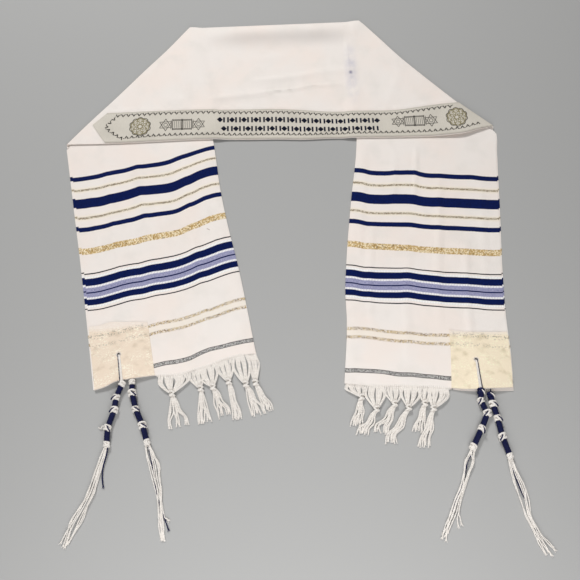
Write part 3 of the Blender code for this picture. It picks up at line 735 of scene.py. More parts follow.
TONE = SimpleNamespace(**{name: srgb(code) for name, code in dict(
    white="F4EDE7", white_cool="E9E3DC", white_warm="F6EBE3", bead="FFFDFA", tint="F6EBD8",
    navy="001A5C", navy_deep="000E3C", lavender="8789AC", lavender_pale="ACABC8",
    black_yarn="1A181E", between_specks="9AA0AE",
    gold="C4A267", gold_dark="7E6238", gold_pale="F6E6C4", gold_dull="C0A670",
    granule="94866A", granule_dark="6E5C40", lurex="C6C4C0", lurex_dark="565454",
    lurex_rim="2E2C2C", brown_mark="9C8474", blue_streak="C6C3CE", blue_spot="6E6E8E",
    soiled="D2CBC6", ribbon="DDD7CC", ribbon_fleck="CDC6B9", ribbon_cloud="C3BDB1",
    ribbon_edge="A9A294", brocade_curl="A39A88", floor="AEAEAD",
).items()})

# the woven pattern along p: (centre, width), and how soft the edge is if not 0.25
NAVY_STRIPES = ((0, 8.8), (49, 18), (97, 8.6), (192, 12), (210, 2.2), (227, 10.5))
BLACK_LINES = ((178, 2.0), (241, 2.0))
LAVENDER_BAND = (209.9, 24.5)
BEAD_ROWS = ((199.9, 3.6), (219.9, 3.6))
SPECK_ROWS = ((184.0, 3.6), (234.4, 3.6))
SANDY_GROUND = ((23, 9.0, 3.0), (76, 9.0, 3.0))
GRANULE_LINES = ((23, 3.8, 0.8), (76, 3.8, 0.8))
GOLD_BAND = (139, 11.5, 0.6)
TINT_BAND = (296.5, 12, 1.5)
DOTTED_LINES = ((290, 5.0, 1.2), (304.2, 5.0, 1.2))
HEM_LINE = (358, 6.6)
HEM_RIMS = ((355.0, 1.0), (361.0, 1.0))
# marks on the cloth, and a painted shade, by the centre, width and softness of a band in b and one
# in a
BLUE_STREAK = ((-365, 17.0, 8.0), (140, 90, 34.0))
BLUE_SPOT = ((-366.5, 5.0, 2.2), (137, 5.0, 2.2))
# painted shade: a darker stretch on the middle just below its lengthwise fold, where the cloth
# falls away from the light
PAINTED_SHADE_BELOW_FOLD = ((-488, 230, 50.0), (221, 26, 15.0))
BROWN_MARK = dict(a=222.0, b=155.0, length=(9.0, 2.5), width=(1.6, 1.0))


def weave_height(g, pitch=0.75):
    """A plain weave's height, with uneven yarns."""
    over = g.times(g.wave(g.a, pitch), g.wave(g.b, pitch))
    slub = g.speckle(0.0, 1.0, stretch=(1.4, 0.08))
    pick = g.speckle(3.0, 1.0, stretch=(0.07, 1.2))
    return g.plus(g.times(over, 0.35), g.plus(slub, pick))


def cloth_ground(g):
    """The ground's off-white, a little patchy."""
    warm = g.ramp(g.speckle(0.0, 0.012, 3.0), 0.35, 0.7)
    dull = g.ramp(g.speckle(40.0, 0.03), 0.45, 0.8)
    return g.lay(g.mix(warm, TONE.white, TONE.white_warm), TONE.white_cool, dull, 0.5)


def cloth_marks(g, colour):
    """A small brown mark on the left end; a faint blue streak and spot; and painted shade below the
    middle's fold.
    """
    def patch(place):
        return g.times(g.band(g.b, *place[0]), g.band(g.a, *place[1]))
    past, below = g.minus(g.a, BROWN_MARK["a"]), g.minus(g.b, BROWN_MARK["b"])
    mark = g.times(g.band(g.plus(past, below), 0.0, *BROWN_MARK["length"]),
                   g.band(g.minus(past, below), 0.0, *BROWN_MARK["width"]))
    colour = g.lay(colour, TONE.brown_mark, mark, 0.75)
    streak = g.times(patch(BLUE_STREAK), g.ramp(g.speckle(51.0, 0.05, 3.0), 0.15, 0.7))
    colour = g.lay(colour, TONE.blue_streak, streak, 0.7)
    colour = g.lay(colour, TONE.blue_spot, patch(BLUE_SPOT), 0.75)
    # shade painted on the middle below its lengthwise fold
    return g.lay(colour, TONE.soiled, patch(PAINTED_SHADE_BELOW_FOLD), 0.5)


def cloth_material():
    g = Graph("cloth_woven", roughness=0.92, sheen=0.05, specular=0.12)
    a, b = g.coordinates()
    # the stripes' edges: each yarn ends a little higher or lower than the next
    teeth = g.math("PINGPONG", a, 0.85)
    wander = g.noise(g.vector(g.times(a, 0.35), 0.0), 1.0)
    p = g.plus(b, g.minus(g.plus(g.times(teeth, 0.55), g.times(wander, 0.9)), 0.68))
    coarse, grit = g.speckle(17.0, 0.22), g.speckle(27.0, 0.55, 3.0, 0.7)
    clumps = g.ramp(coarse, 0.45, 0.6)

    colour = cloth_marks(g, cloth_ground(g))
    # cream tint between the two dotted lines
    colour = g.lay(colour, TONE.tint, g.band(p, *TINT_BAND), 0.4)
    # lavender: navy and white threads side by side
    threads = g.ramp(g.speckle(5.0, 1.0, 1.0, stretch=(1.5, 0.25)), 0.35, 0.65)
    lavender = g.mix(threads, TONE.lavender, TONE.lavender_pale)
    colour = g.mix(g.band(p, *LAVENDER_BAND), colour, lavender)
    # white beads beside the two navy stripes
    dash = g.ramp(g.wave(a, 2.5), -0.55, 0.15)
    beads = g.bands(p, BEAD_ROWS)
    colour = g.lay(colour, TONE.bead, beads, g.plus(0.45, g.times(dash, 0.55)))
    specks = g.bands(p, SPECK_ROWS)
    colour = g.mix(specks, colour, TONE.bead)
    colour = g.lay(colour, TONE.between_specks, g.times(specks, g.minus(1.0, dash)), 0.3)
    # navy stripes and black lines
    grain = g.ramp(g.speckle(7.0, 1.1, 2.0, 0.6), 0.4, 0.65)
    stripes = g.bands(p, NAVY_STRIPES)
    colour = g.mix(stripes, colour, g.mix(grain, TONE.navy_deep, TONE.navy))
    colour = g.mix(g.bands(p, BLACK_LINES), colour, TONE.black_yarn)
    # thin lines of granules
    colour = g.lay(colour, TONE.tint, g.bands(p, SANDY_GROUND), 0.8)
    granules = g.times(g.bands(p, GRANULE_LINES), g.ramp(grit, 0.40, 0.50))
    colour = g.lay(colour, g.mix(clumps, TONE.granule, TONE.granule_dark), granules, 0.92)
    # the gold band
    gold = g.mix(g.ramp(g.speckle(19.0, 0.5), 0.44, 0.54), TONE.gold_pale, TONE.gold)
    glints = g.times(g.ramp(g.speckle(63.0, 0.42), 0.53, 0.6),
                     g.plus(0.25, g.times(g.ramp(coarse, 0.5, 0.6), 0.75)))
    band = g.band(p, *GOLD_BAND)
    colour = g.mix(band, colour, g.lay(gold, TONE.gold_dark, glints, 0.85))
    # the two dotted gold lines
    dots = g.times(g.bands(p, DOTTED_LINES), g.ramp(grit, 0.42, 0.54))
    colour = g.lay(colour, g.mix(clumps, TONE.gold_dull, TONE.gold_dark), dots, 0.95)
    # the glittering grey line above the hem
    lurex = g.mix(g.ramp(grit, 0.4, 0.58), TONE.lurex_dark, TONE.lurex)
    hem_line = g.band(p, *HEM_LINE)
    colour = g.mix(hem_line, colour, g.mix(g.bands(p, HEM_RIMS), lurex, TONE.lurex_rim))

    roughness = g.minus(0.92, g.times(g.any_of(band, hem_line, dots), 0.42))
    height = g.plus(weave_height(g), g.times(g.any_of(stripes, band, hem_line), 1.2))
    return g.finish(colour, height, 0.16, roughness)


def brocade_material(name, ground, light, shade, top, top_slope):
    """Brocade: a satin figure of scattered flecks on a ribbed ground, paler at its upper edge."""
    g = Graph(name, roughness=0.7, sheen=0.15, specular=0.35)
    a, b = g.coordinates()
    bent = g.vector(g.plus(a, g.times(g.speckle(11.0, 0.09, 3.0, 0.6), 14.0)), b, 2.0)
    flecks = g.ramp(g.noise(bent, 0.42, 3.0, 0.62), 0.5, 0.6)
    where = g.ramp(g.speckle(23.0, 0.045, 1.0), 0.38, 0.62)
    colour = g.lay(srgb(ground), srgb(light), flecks, where)
    colour = g.lay(colour, srgb(shade), g.ramp(g.speckle(31.0, 0.06), 0.5, 0.75), 0.55)
    # two rows of curls, where the dotted lines are on the cloth
    curls = g.ramp(g.speckle(47.0, 0.42, 2.0, 0.6, (0.8, 1)), 0.53, 0.6)
    rows = g.plus(g.band(b, 287.5, 9, 3.0), g.times(g.band(b, 304, 6, 3.0), 0.7))
    colour = g.lay(colour, TONE.brocade_curl, g.times(curls, rows), 0.75)
    down = g.minus(b, g.times(a, top_slope))
    colour = g.lay(colour, TONE.white_warm, g.ramp(down, top + 11, top), 0.7)
    height = g.plus(g.times(g.wave(b, 1.1), 0.4), g.times(flecks, 0.9))
    return g.finish(colour, height, 0.14, g.minus(0.78, g.times(flecks, 0.3)))


def ribbon_material():
    """The neckband's close-woven ribbon, ribbed across, darker along both edges."""
    g = Graph("neckband_ribbon", roughness=0.62, sheen=0.1, specular=0.4)
    a, b = g.coordinates()
    fleck = g.speckle(3.0, 1.3, stretch=(0.5, 1))
    colour = g.mix(g.ramp(fleck, 0.35, 0.7), TONE.ribbon_fleck, TONE.ribbon)
    colour = g.lay(colour, TONE.ribbon_cloud, g.ramp(g.speckle(9.0, 0.02), 0.4, 0.7), 0.5)
    edges = g.bands(b, ((BAND_FOOT + 1.2, 2.0, 0.4), (BAND_HEAD - 1.2, 2.0, 0.4)))
    colour = g.lay(colour, TONE.ribbon_edge, edges, 0.35)
    return g.finish(colour, g.plus(g.times(g.wave(a, 0.9), 0.5), fleck), 0.1)


def thread_material(name, light, groove_shade, pitch=2.2, roughness=0.85, sheen=0.2):
    """Twisted thread: slanting strands along the uv's length, with shade painted darker in the
    grooves between them and uneven fibre.
    """
    g = Graph(name, roughness=roughness, sheen=sheen, specular=0.25)
    along, around = g.coordinates()
    turned = g.plus(g.times(along, 1 / pitch), g.times(around, MM))
    twist = g.math("SINE", g.times(turned, 2 * pi))
    fuzz = g.speckle(0.0, 0.8, stretch=(1, 0.004))
    # the darker colour is painted shade in the twist's grooves, mixed with uneven fibre
    shade = g.ramp(g.plus(g.times(twist, 0.2), fuzz), 0.2, 0.8)
    height = g.plus(g.times(twist, 0.5), fuzz)
    return g.finish(g.mix(shade, srgb(groove_shade), srgb(light)), height, 0.12)


CLOTH = cloth_material()
BROCADE = {
    "left": brocade_material("brocade_left", "F1DFCA", "FFF6E2", "CDB9A0", 270.5, 0.13),
    "right": brocade_material("brocade_right", "F8E9CE", "FFF8DA", "C8B894", 275.8, 0.073),
}
RIBBON = ribbon_material()
# each thread's second colour is painted shade for the grooves between its strands
WHITE_THREAD = thread_material("thread_white", "FBF7F2", "DDD6CE")
NAVY_CORD = thread_material("cord_navy", "101A56", "05081F", 1.8, 0.7, 0.03)
GREY_SILK = thread_material("embroidery_grey", "46433C", "282522", 1.2, 0.7, 0.0)
GOLD_SILK = thread_material("embroidery_gold", "A1965E", "6B6238", 1.2, 0.6, 0.0)
NAVY_SILK = thread_material("embroidery_navy", "161C38", "0A0E22", 1.2, 0.7, 0.0)


# ---- the cloth
MIDDLE_COLUMNS, END_ROWS, PATCH_ROWS, BAND_COLUMNS = 210, 170, 42, 230
PATCH_SPACING, BAND_SPACING = 2.5, 2.6
MIDDLE_B_INSET = 5.0
MIDDLE_SHIFT = 500                      # keeps the middle clear of the ends' stripes
SEWN_MID = HALF_PITCH + PITCH           # how far off the mid-plane sewn-on pieces lie
SEWN_TOP = SEWN_MID + CLOTH_WALL / 2


def steps_between(start, stop, spacing):
    count = max(2, round(abs(stop - start) / spacing) + 1)
    return list(np.linspace(start, stop, count))


def ply_profile(b_end, a_spacing, b_spacing):
    """(w, n, ply) from ply A's long edge, round the lengthwise fold, to ply B's long edge."""
    rows = [(w, HALF_PITCH, "under") for w in steps_between(0.0, PLY_A, a_spacing)]
    for i in range(1, FOLD_STEPS):
        turn = pi * i / FOLD_STEPS
        rows.append((PLY_A + HALF_PITCH * sin(turn), HALF_PITCH * cos(turn), "fold"))
    return rows + [(w, -HALF_PITCH, "top") for w in steps_between(PLY_A, b_end, b_spacing)]


def make_middle():
    grid = []
    arcs = [pi * TURN_RADIUS * i / TURN_STEPS for i in range(TURN_STEPS + 1)]
    arcs.append(pi * TURN_RADIUS + TURN_TAIL)
    for w, n, _ in ply_profile(MIDDLE_B_INSET, FINE, COARSE):
        left_line, right_line = fold_lines(w)
        left = [left_line - arc / sin(SIDES["left"]["slant"]) for arc in arcs[::-1]]
        right = [right_line + arc / sin(SIDES["right"]["slant"]) for arc in arcs]
        xs = [*left, *np.linspace(left_line, right_line, MIDDLE_COLUMNS)[1:-1], *right]
        grid.append([(middle_point(x, w, n), (w, x - MIDDLE_SHIFT)) for x in xs])
    return shell("tallit_middle", grid, CLOTH)


def make_end(side, cutter):
    grid = []
    for u, n, ply in ply_profile(SIDES[side]["b_inset"], COARSE, FINE):
        row = []
        for v in np.linspace(end_start(side, u), hem(side, ply, u), END_ROWS):
            uv = (u + PATTERN_SHIFT[side], pattern_p(side, u, v, ply))
            row.append((end_point(side, u, v, n), uv))
        grid.append(row)
    return shell(f"tallit_end_{side}", grid, CLOTH, cutter)


def make_patch(side, cutter):
    s = SIDES[side]
    outer, inner = s["patch_drop"]
    first, last = s["b_inset"] + PATCH_INSET, s["patch_u"]
    grid = []
    for u in steps_between(first, last, PATCH_SPACING):
        drop = outer + (inner - outer) * (u - first) / (last - first)
        vs = [hem(side, "top", u) - above for above in np.linspace(PATCH_INSET, drop, PATCH_ROWS)]
        grid.append([(end_point(side, u, v, -SEWN_MID), (u, pattern_p(side, u, v, "top")))
                     for v in vs])
    return shell(f"patch_{side}", grid, BROCADE[side], cutter)


def band_left_end(w):
    tip = BAND_TIP["w"]
    reach = tip - BAND_FOOT if w < tip else BAND_HEAD - tip
    return BAND_TIP["x"] + (BAND_SHOULDER_X - BAND_TIP["x"]) * abs(w - tip) / reach


def make_band():
    grid = []
    for w in (steps_between(BAND_FOOT, BAND_TIP["w"], BAND_SPACING)
              + steps_between(BAND_TIP["w"], BAND_HEAD, BAND_SPACING)[1:]):
        right_line = fold_lines(w)[1]
        wrap = [right_line + pi * TURN_RADIUS * share / sin(SIDES["right"]["slant"])
                for share in (0.1, 0.2, 0.3)]
        xs = [*np.linspace(band_left_end(w), right_line, BAND_COLUMNS), *wrap]
        grid.append([(middle_point(x, w, SEWN_MID), (x, w)) for x in xs])
    return shell("neckband", grid, RIBBON)


# ---- the neckband's woven figures
STITCH_LIFT = 0.1
ZIGZAG_PITCH = 9.6
ZIGZAG_LINES = (                        # (x, w)
    ((350, 12.5), (288, 10.5), (213, 11), (35, 10.5), (-122, 10.5), (-234, 11.5), (-284, 9.5)),
    ((-284, 9.5), (-299, 20), (-311, 33), (-303, 45), (-292, 56)),
    ((-292, 56), (-234, 57), (-122, 56.5), (37, 56), (215, 55), (288, 56), (316, 56.5)),
)
ZIGZAG_STROKES = (                      # (forward, out) along a line, and the stitch's radius
    (((-3.2, -2.6), (-0.5, 2.7), (2.2, -1.6)), 0.92),
    (((3.9, -2.2), (4.9, -1.3)), 0.8),
)
ROSETTES = ((-251, 31.5), (315, 33.5))
# scallops, reach, depth and slot of each ring
ROSETTE_RINGS = ((10, 18.0, 2.4, 0), (10, 15.6, 2.0, 1), (8, 4.0, 1.2, 1))
STAR_GROUPS = ((-175.7, 32, -0.02), (239.3, 33.5, -0.06))   # (x, w, tilt)
STAR_RADIUS, STAR_OFF = 12.5, 29.5
PANEL_HALF = 17                         # half the width of the barred panel between two stars
LETTER_ROWS = ((40.2, 12.0, 0.0), (21.4, 11.5, 7.0))        # (w, height, shift along x)
LETTERS_FROM, LETTERS_TO, LETTER_PITCH = -108.0, 174, 7.2
LOZENGE_LAYERS, LOZENGE_HALF = 15, 5.2


def apart(a, b):
    return sqrt((b[0] - a[0]) ** 2 + (b[1] - a[1]) ** 2)


def draw(threads, points, radius=0.42, slot=0, step=2.0):
    """Stitches a polyline of (x, w) points on the neckband, taken in short steps."""
    found = []
    for (x0, w0), (x1, w1) in zip(points, points[1:]):
        count = max(1, int(apart((x0, w0), (x1, w1)) / step))
        found += [(x0 + (x1 - x0) * i / count, w0 + (w1 - w0) * i / count) for i in range(count)]
    spots = [middle_point(x, w, SEWN_TOP + STITCH_LIFT) for x, w in [*found, points[-1]]]
    threads.add(spots, radius, 4, slot)


def make_zigzag():
    """The border: small chevrons along both edges and round the pointed end."""
    threads = Threads()
    for line in ZIGZAG_LINES:
        length = sum(apart(a, b) for a, b in zip(line, line[1:]))
        spots = path_through(line, round(length / ZIGZAG_PITCH) + 1)
        ways = np.gradient(spots, axis=0)
        ways /= np.linalg.norm(ways, axis=1)[:, None]
        for (x, w), (way_x, way_w) in list(zip(spots, ways))[:-1]:
            for stroke, radius in ZIGZAG_STROKES:
                points = [(x + way_x * forward + way_w * out, w + way_w * forward - way_x * out)
                          for forward, out in stroke]
                draw(threads, points, radius)
    return threads.make("band_zigzag", GREY_SILK)


def draw_rosette(threads, x, w):
    """Scalloped rings with petals and small spokes between them."""
    def polar(radius, turn):
        return x + radius * cos(turn), w + radius * sin(turn)
    for scallops, reach, depth, slot in ROSETTE_RINGS:
        turns = [2 * pi * i / 80 for i in range(81)]
        ring = [polar(reach + depth * abs(sin(scallops * turn / 2)) - depth / 2, turn)
                for turn in turns]
        draw(threads, ring, 0.6, slot, 3.0)
    for petal in range(8):
        turn = 2 * pi * (petal + 0.5) / 8
        for lean in (-0.3, 0.3):
            draw(threads, [polar(5.0, turn), polar(9.0, turn + lean), polar(13.6, turn)], 0.55, 1)
    for i in range(56):
        turn = 2 * pi * i / 56
        draw(threads, [polar(15.9, turn), polar(17.6 + 0.5 * sin(5 * turn), turn)], 0.5, 1)
        if i % 2:
            draw(threads, [polar(10.8 + 1.2 * cos(8 * turn), turn), polar(14.2, turn)], 0.42, 1)


def draw_star_group(threads, x, w, tilt):
    """Two stars, and between them a framed panel of upright bars with a bracket on each side."""
    def spot(dx, dw):
        return x + dx, w + dw + tilt * dx
    for dx in (-STAR_OFF, STAR_OFF):
        cx, cw = spot(dx, 0)
        for turn in (0, pi):
            turns = [turn + i * 2 * pi / 3 for i in range(4)]
            star = [(cx + STAR_RADIUS * sin(a), cw + STAR_RADIUS * cos(a)) for a in turns]
            draw(threads, star, 0.52)
        turns = [i * pi / 6 for i in range(13)]
        draw(threads, [(cx + 3.4 * cos(a), cw + 3.4 * sin(a)) for a in turns], 0.46)
    for dx in (-PANEL_HALF, -0.9, 0.9, PANEL_HALF):
        draw(threads, [spot(dx, -11.5), spot(dx, 11.5)], 0.62)
    for dw in (-10.4, -8.6, 8.6, 10.4):
        draw(threads, [spot(-PANEL_HALF, dw), spot(PANEL_HALF, dw)], 0.5)
    for k in range(1, 10):
        dx = -PANEL_HALF + 2 * PANEL_HALF * k / 10
        if abs(dx) > 2:
            draw(threads, [spot(dx, -7), spot(dx, 7)], 0.36)
    for dx in (-19.8, 19.8):
        draw(threads, [spot(dx, -9.5), spot(dx * 0.95, 0), spot(dx, 9.5)], 0.5)


def make_emblems():
    """A rosette and a star group at each end of the band."""
    threads = Threads()
    for place in ROSETTES:
        draw_rosette(threads, *place)
    for place in STAR_GROUPS:
        draw_star_group(threads, *place)
    return threads.make("band_emblems", GREY_SILK, GOLD_SILK)


def draw_lozenge(threads, x, w, height):
    for i in range(LOZENGE_LAYERS):
        level = (i + 0.5) / LOZENGE_LAYERS * 2 - 1
        half = LOZENGE_HALF * (1 - abs(level))
        if half > 0.5:
            y = w + level * height / 2
            draw(threads, [(x - half, y), (x + half, y)], 0.44)


def make_rows():
    """Two rows of lozenges and bars in satin stitch, evenly spaced."""
    threads = Threads()
    for centre, height, shift in LETTER_ROWS:
        x, k = LETTERS_FROM + shift, 0
        while x < LETTERS_TO:
            w = centre - (x - 35) / 140
            if k % 3 == 0:
                draw_lozenge(threads, x, w, height)
            else:
                for dx in (-1.125, -0.375, 0.375, 1.125):
                    bar = [(x + dx, w - height * 0.45), (x + dx, w + height * 0.45)]
                    draw(threads, bar, 0.46, 0, 4.0)
            x += LETTER_PITCH
            k += 1
    return threads.make("band_rows", NAVY_SILK)


# ---- fringe
BUNDLE_COLUMNS = ("ply", "root_from", "root_to", "knot_u", "knot_v", "tips", "tip_v")
BUNDLES = {
    "left": (
        ("top", 101, 148, 118, 479, (107, 120, 133), 527),
        ("under", 149, 168, 162, 481, (153, 158, 167), 528),
        ("top", 161, 192, 181, 483, (184, 197), 527),
        ("under", 193, 217, 206, 480, (206, 212), 534),
        ("top", 217, 243, 231, 490, (233, 241, 249), 535),
        ("under", 243, 256, 246, 491, (253, 259), 533),
    ),
    "right": (
        ("top", 99, 127, 121, 502, (130, 138), 555),
        ("under", 120, 141, 134, 496, (138, 147), 534),
        ("top", 141, 170, 158, 504, (179, 187), 554),
        ("under", 170, 193, 179, 500, (191, 204), 541),
        ("top", 194, 224, 206, 510, (220, 229), 545),
        ("under", 226, 253, 229, 494, (230, 239), 533),
    ),
}
FRINGE_KNOT_Z = {"top": 3.8, "under": 2.9}
FRINGE_SEED = {"left": 7, "right": 11}
ROOT_Z = {"top": LOW + HALF_PITCH, "under": LOW - HALF_PITCH}
HEM_STITCH_PITCH, HEM_STITCH_TO, UNDER_STITCH_FROM = 3.1, 250, 112
HEM_STITCH = ((-2.6, 0.4), (0, 0.75), (2.4, 0.1))               # past the hem, above the root
HEM_STITCH_RADII = (0.7, 0.95, 0.6)
LOCKS_PER_MM = 0.8
FRINGE_KNOT_TURNS = ((-3.0, 1.6), (0.0, -2.0), (2.6, 1.4))      # shift down, lean
FRINGE_CORD = dict(radius=1.5, pitch=5.6, points=34)
DRAWS_PER_CORD = 9                      # random numbers that each loose cord takes


def spread(seed, count, width):
    """Repeatable uneven numbers around zero."""
    return np.random.default_rng(seed).uniform(-width, width, count)


def hem_stitches(threads, side, ply):
    first = SIDES[side]["patch_u"] + 3 if ply == "top" else UNDER_STITCH_FROM
    for u in np.arange(first, HEM_STITCH_TO, HEM_STITCH_PITCH):
        foot = hem(side, ply, u)
        spots = [(*end_plan(side, u, foot + past), ROOT_Z[ply] + up) for past, up in HEM_STITCH]
        threads.add(spots, HEM_STITCH_RADII, 5)


def fringe_locks(threads, side, b, seed):
    """Threads from the hem, gathered into locks on their way to the bundle's knot."""
    root_z, knot_z = ROOT_Z[b["ply"]], FRINGE_KNOT_Z[b["ply"]]
    knot_u, knot_v = b["knot_u"], b["knot_v"]
    raised = 1.0 if b["ply"] == "top" else 0.0
    width = b["root_to"] - b["root_from"]
    count = int(width * LOCKS_PER_MM)
    for i, j in enumerate(spread(seed, count * 6, 1.0).reshape(count, 6)):
        share = i / (count - 1)
        u = b["root_from"] + width * share + 0.5 * j[0]
        v = hem(side, b["ply"], u) - 1.5
        drop = knot_v - v
        lock = round(share * 3) / 3
        gathered = b["root_from"] + width * (0.35 * lock + 0.65 * share)
        bowed = (share - 0.5) * 3.0
        spots = [(u, v, root_z),
                 (u + 0.4 * j[1], v + 3.0, root_z - 0.1),
                 (0.3 * u + 0.7 * gathered + bowed + 0.5 * j[2], v + drop * 0.40,
                  1.7 + 0.5 * j[3] + raised),
                 (knot_u + (gathered - knot_u) * 0.55 + bowed + 0.5 * j[4], v + drop * 0.72,
                  knot_z + 0.5 * j[5]),
                 (knot_u + (share - 0.5) * 3.6, knot_v - 0.5, knot_z + 0.8 * j[3])]
        threads.add(laid_path(side, spots, 12), 0.9, 4)


def fringe_knot(threads, side, u, v, z):
    for shift, lean in FRINGE_KNOT_TURNS:
        turns = [2 * pi * k / 14 for k in range(15)]
        threads.add([(*end_plan(side, u + 3.8 * cos(turn), v + shift + lean * cos(turn + 0.6)),
                      max(1.45, z + 0.3 + 2.4 * sin(turn))) for turn in turns], 1.4, 6)


def fringe_cords(threads, side, b, seed):
    """Loose twisted cords from the bundle's knot to its tips, frayed at their ends."""
    knot_u, knot_v, knot_z = b["knot_u"], b["knot_v"], FRINGE_KNOT_Z[b["ply"]]
    cords = 3 if len(b["tips"]) > 2 else 4
    noise = spread(seed, 400, 1.0)
    for number, (tip, c) in enumerate(product(b["tips"], range(cords))):
        n = noise[DRAWS_PER_CORD * number:]
        offset = (c - (cords - 1) / 2) * 2.2
        reach = b["tip_v"] + 2.6 * n[0] - knot_v
        over = 0.9 * (c % 2)
        aside = tip - knot_u
        spots = [(knot_u + 0.5 * offset, knot_v + 1.0, max(1.4, knot_z - 0.3)),
                 (knot_u + 0.3 * aside + 0.7 * offset + 0.7 * n[1], knot_v + 0.25 * reach,
                  1.8 + over),
                 (knot_u + 0.5 * aside + 1.1 * offset + 1.5 * n[2], knot_v + 0.55 * reach,
                  1.4 + over),
                 (tip + 0.9 * offset + 1.1 * n[3], knot_v + 0.84 * reach, 1.3 + over),
                 (tip + 1.1 * offset + 1.2 * n[4], knot_v + reach, 1.2)]
        path = laid_path(side, spots, FRINGE_CORD["points"])
        twisted(threads, path, FRINGE_CORD["radius"], FRINGE_CORD["pitch"], 0, n[5] * 3, 5,
                cord_taper(len(path), 0.95, 0.8))
        aways = [(hair - 1) * 0.8 + 0.5 * n[6 + hair] for hair in range(3)]
        fray(threads, path, 4, [(2, 1.2, away * 0.5, 2.8, away) for away in aways], (0.6, 0.5, 0.3))


def make_fringe(side, ply):
    """Locks of thread from the hem down to big knots, with loose cords below them."""
    threads = Threads()
    hem_stitches(threads, side, ply)
    for number, row in enumerate(BUNDLES[side]):
        b = dict(zip(BUNDLE_COLUMNS, row))
        if b["ply"] == ply:
            seed = 100 * number + FRINGE_SEED[side]
            fringe_locks(threads, side, b, seed)
            fringe_knot(threads, side, b["knot_u"], b["knot_v"], FRINGE_KNOT_Z[ply])
            fringe_cords(threads, side, b, seed + 1)
    return threads.make(f"fringe_{side}_{ply}_threads", WHITE_THREAD)


# ---- corner tassels
WHITE_SLOT, NAVY_SLOT = 0, 1
CORE_RADIUS = 3.7
WINDING_THREAD = 0.8
WINDING_PITCH = 1.6
WINDING_STEPS = 11
KNOT_HALF = 4.6
SHAFT_Z = 5.2
CORD_RADIUS = 1.2
TASSEL_SEED = {("left", "top"): 3, ("left", "under"): 5,
               ("right", "top"): 9, ("right", "under"): 13}
END_KNOT_SCALE, KNOT_SCALE = 0.84, 1.02
# each loop's tilt, shift, radius and cord, then the strand over them, (forward, aside, up)
KNOT_LOOPS = ((-0.6, -2.5, 4.2, 1.85), (-0.5, 2.5, 4.3, 1.85), (0.5, 0.4, 4.4, 1.5))
KNOT_OVER = ((-4.2, 1.0, 1.8), (-1.4, 0.4, 4.9), (1.4, -0.4, 4.9), (4.2, -1.0, 1.8))
LOOP_STRANDS = ((-1.5, NAVY_SLOT), (-0.35, WHITE_SLOT), (0.7, WHITE_SLOT), (1.7, WHITE_SLOT))
LOOP_WIDTHS = (1.2, 1.3, 1.2, 1.1, 1.0, 0.8, 0.6, 0.6)
LOOP_ABOVE_HEM = (2, 12, 24, 34)
# a loose end beside the left upper tassel's fourth knot
STUB = ((-3, -3, 6.0), (-8, -4.5, 4.0), (-11, -1.5, 2.0), (-14, -4.5, 1.4))
STITCHES_ROUND_EYELET = 26
# how far each loose strand lies to the side of its tassel's way at its five stations, and how
# far short of the way's end it stops; the navy strand comes last, and may stop a station early
TAILS = {
    ("left", "top"): (
        ((-2, -4.5, -5, -11, -4), 0), ((-1, -3, -6, -6, -7), 4), ((-1, -2, -2, -9, 1), 2),
        ((0, 0, -1, -3, -2), -2), ((0, 2, 2, 2, 5), 3), ((1, 1, 5, 6, 8), 7), ((1, 4, 4, 8, 3), 1),
        ((1.5, 6, 17), 5),
    ),
    ("left", "under"): (
        ((-3, -6, -4, -3, -2), 0), ((-2, -3, -1, -2, -3), 3), ((-1, 0, -1, 1, 0), -1),
        ((0, 3, 2, 0, -1), 1), ((1, 6, 3, 2, 1), 2), ((2, 8, 5, 3, 2), -2), ((2, 9, 4, 5, 10), 22),
        ((0, -2, -3, 4, 9), 10),
    ),
    ("right", "top"): (
        ((2, 6, 4, 5, 8), 0), ((1, 5, 1, 3, 6), 6), ((1, 3, 3, 6, 3), -2), ((0, -4, 0, 2, 4), 3),
        ((-1, -5, -2, -2, 0), 8), ((-1, -6, -1, -5, -14), 16), ((-2, -4, -3, -6, -18), 20),
        ((0, 2, 2, 2), 4),
    ),
    ("right", "under"): (
        ((3, 7, 4, 3, 8), 2), ((2, 6, 3, 1, 5), -1), ((1, -1, -1, 3, 2), 3),
        ((0, -3, -2, -1, -1), 0), ((-1, -4, 0, -4, -3), -2), ((-1, -6, -3, -6, -7), 5),
        ((-2, -7, -4, -8, -5), 9), ((0, 1, -2, -1), 0),
    ),
}


def knot_centres(side, ply):
    """Centres of the shaft's knots in world space."""
    knots = TASSELS[side, ply]["knots"]
    u, v = knots["u"][0], knots["v"][0]
    first_z = SHAFT_Z + 0.3
    if ply == "top":
        first_z = ROOT_Z[ply] + tuck_lift(side, u, hem(side, "top", u))
    centres = [(*end_plan(side, *place), SHAFT_Z) for place in zip(knots["u"], knots["v"])]
    centres[0] = (*centres[0][:2], first_z)
    return np.array(centres)


def cross_frame(way):
    way = way / np.linalg.norm(way)
    across = np.cross(way, (0, 0, 1.0))
    across /= np.linalg.norm(across)
    return way, across, np.cross(across, way)


def wind(threads, start, end, slot):
    """Close turns of cord round the shaft between two points."""
    way, across, rise = cross_frame(end - start)
    length = float(np.linalg.norm(end - start))
    turns = max(2, round(length / WINDING_PITCH))
    steps = turns * WINDING_STEPS
    spots = []
    for i in range(steps + 1):
        turn = 2 * pi * turns * i / steps
        radius = CORE_RADIUS + 0.12 * sin(turn * 0.37 + length)
        aside = radius * (cos(turn) * across + sin(turn) * rise)
        spots.append(start + way * length * i / steps + aside)
    threads.add(spots, WINDING_THREAD, 5, slot)
    threads.add([start, (start + end) / 2, end], CORE_RADIUS - 0.3, 8, slot)


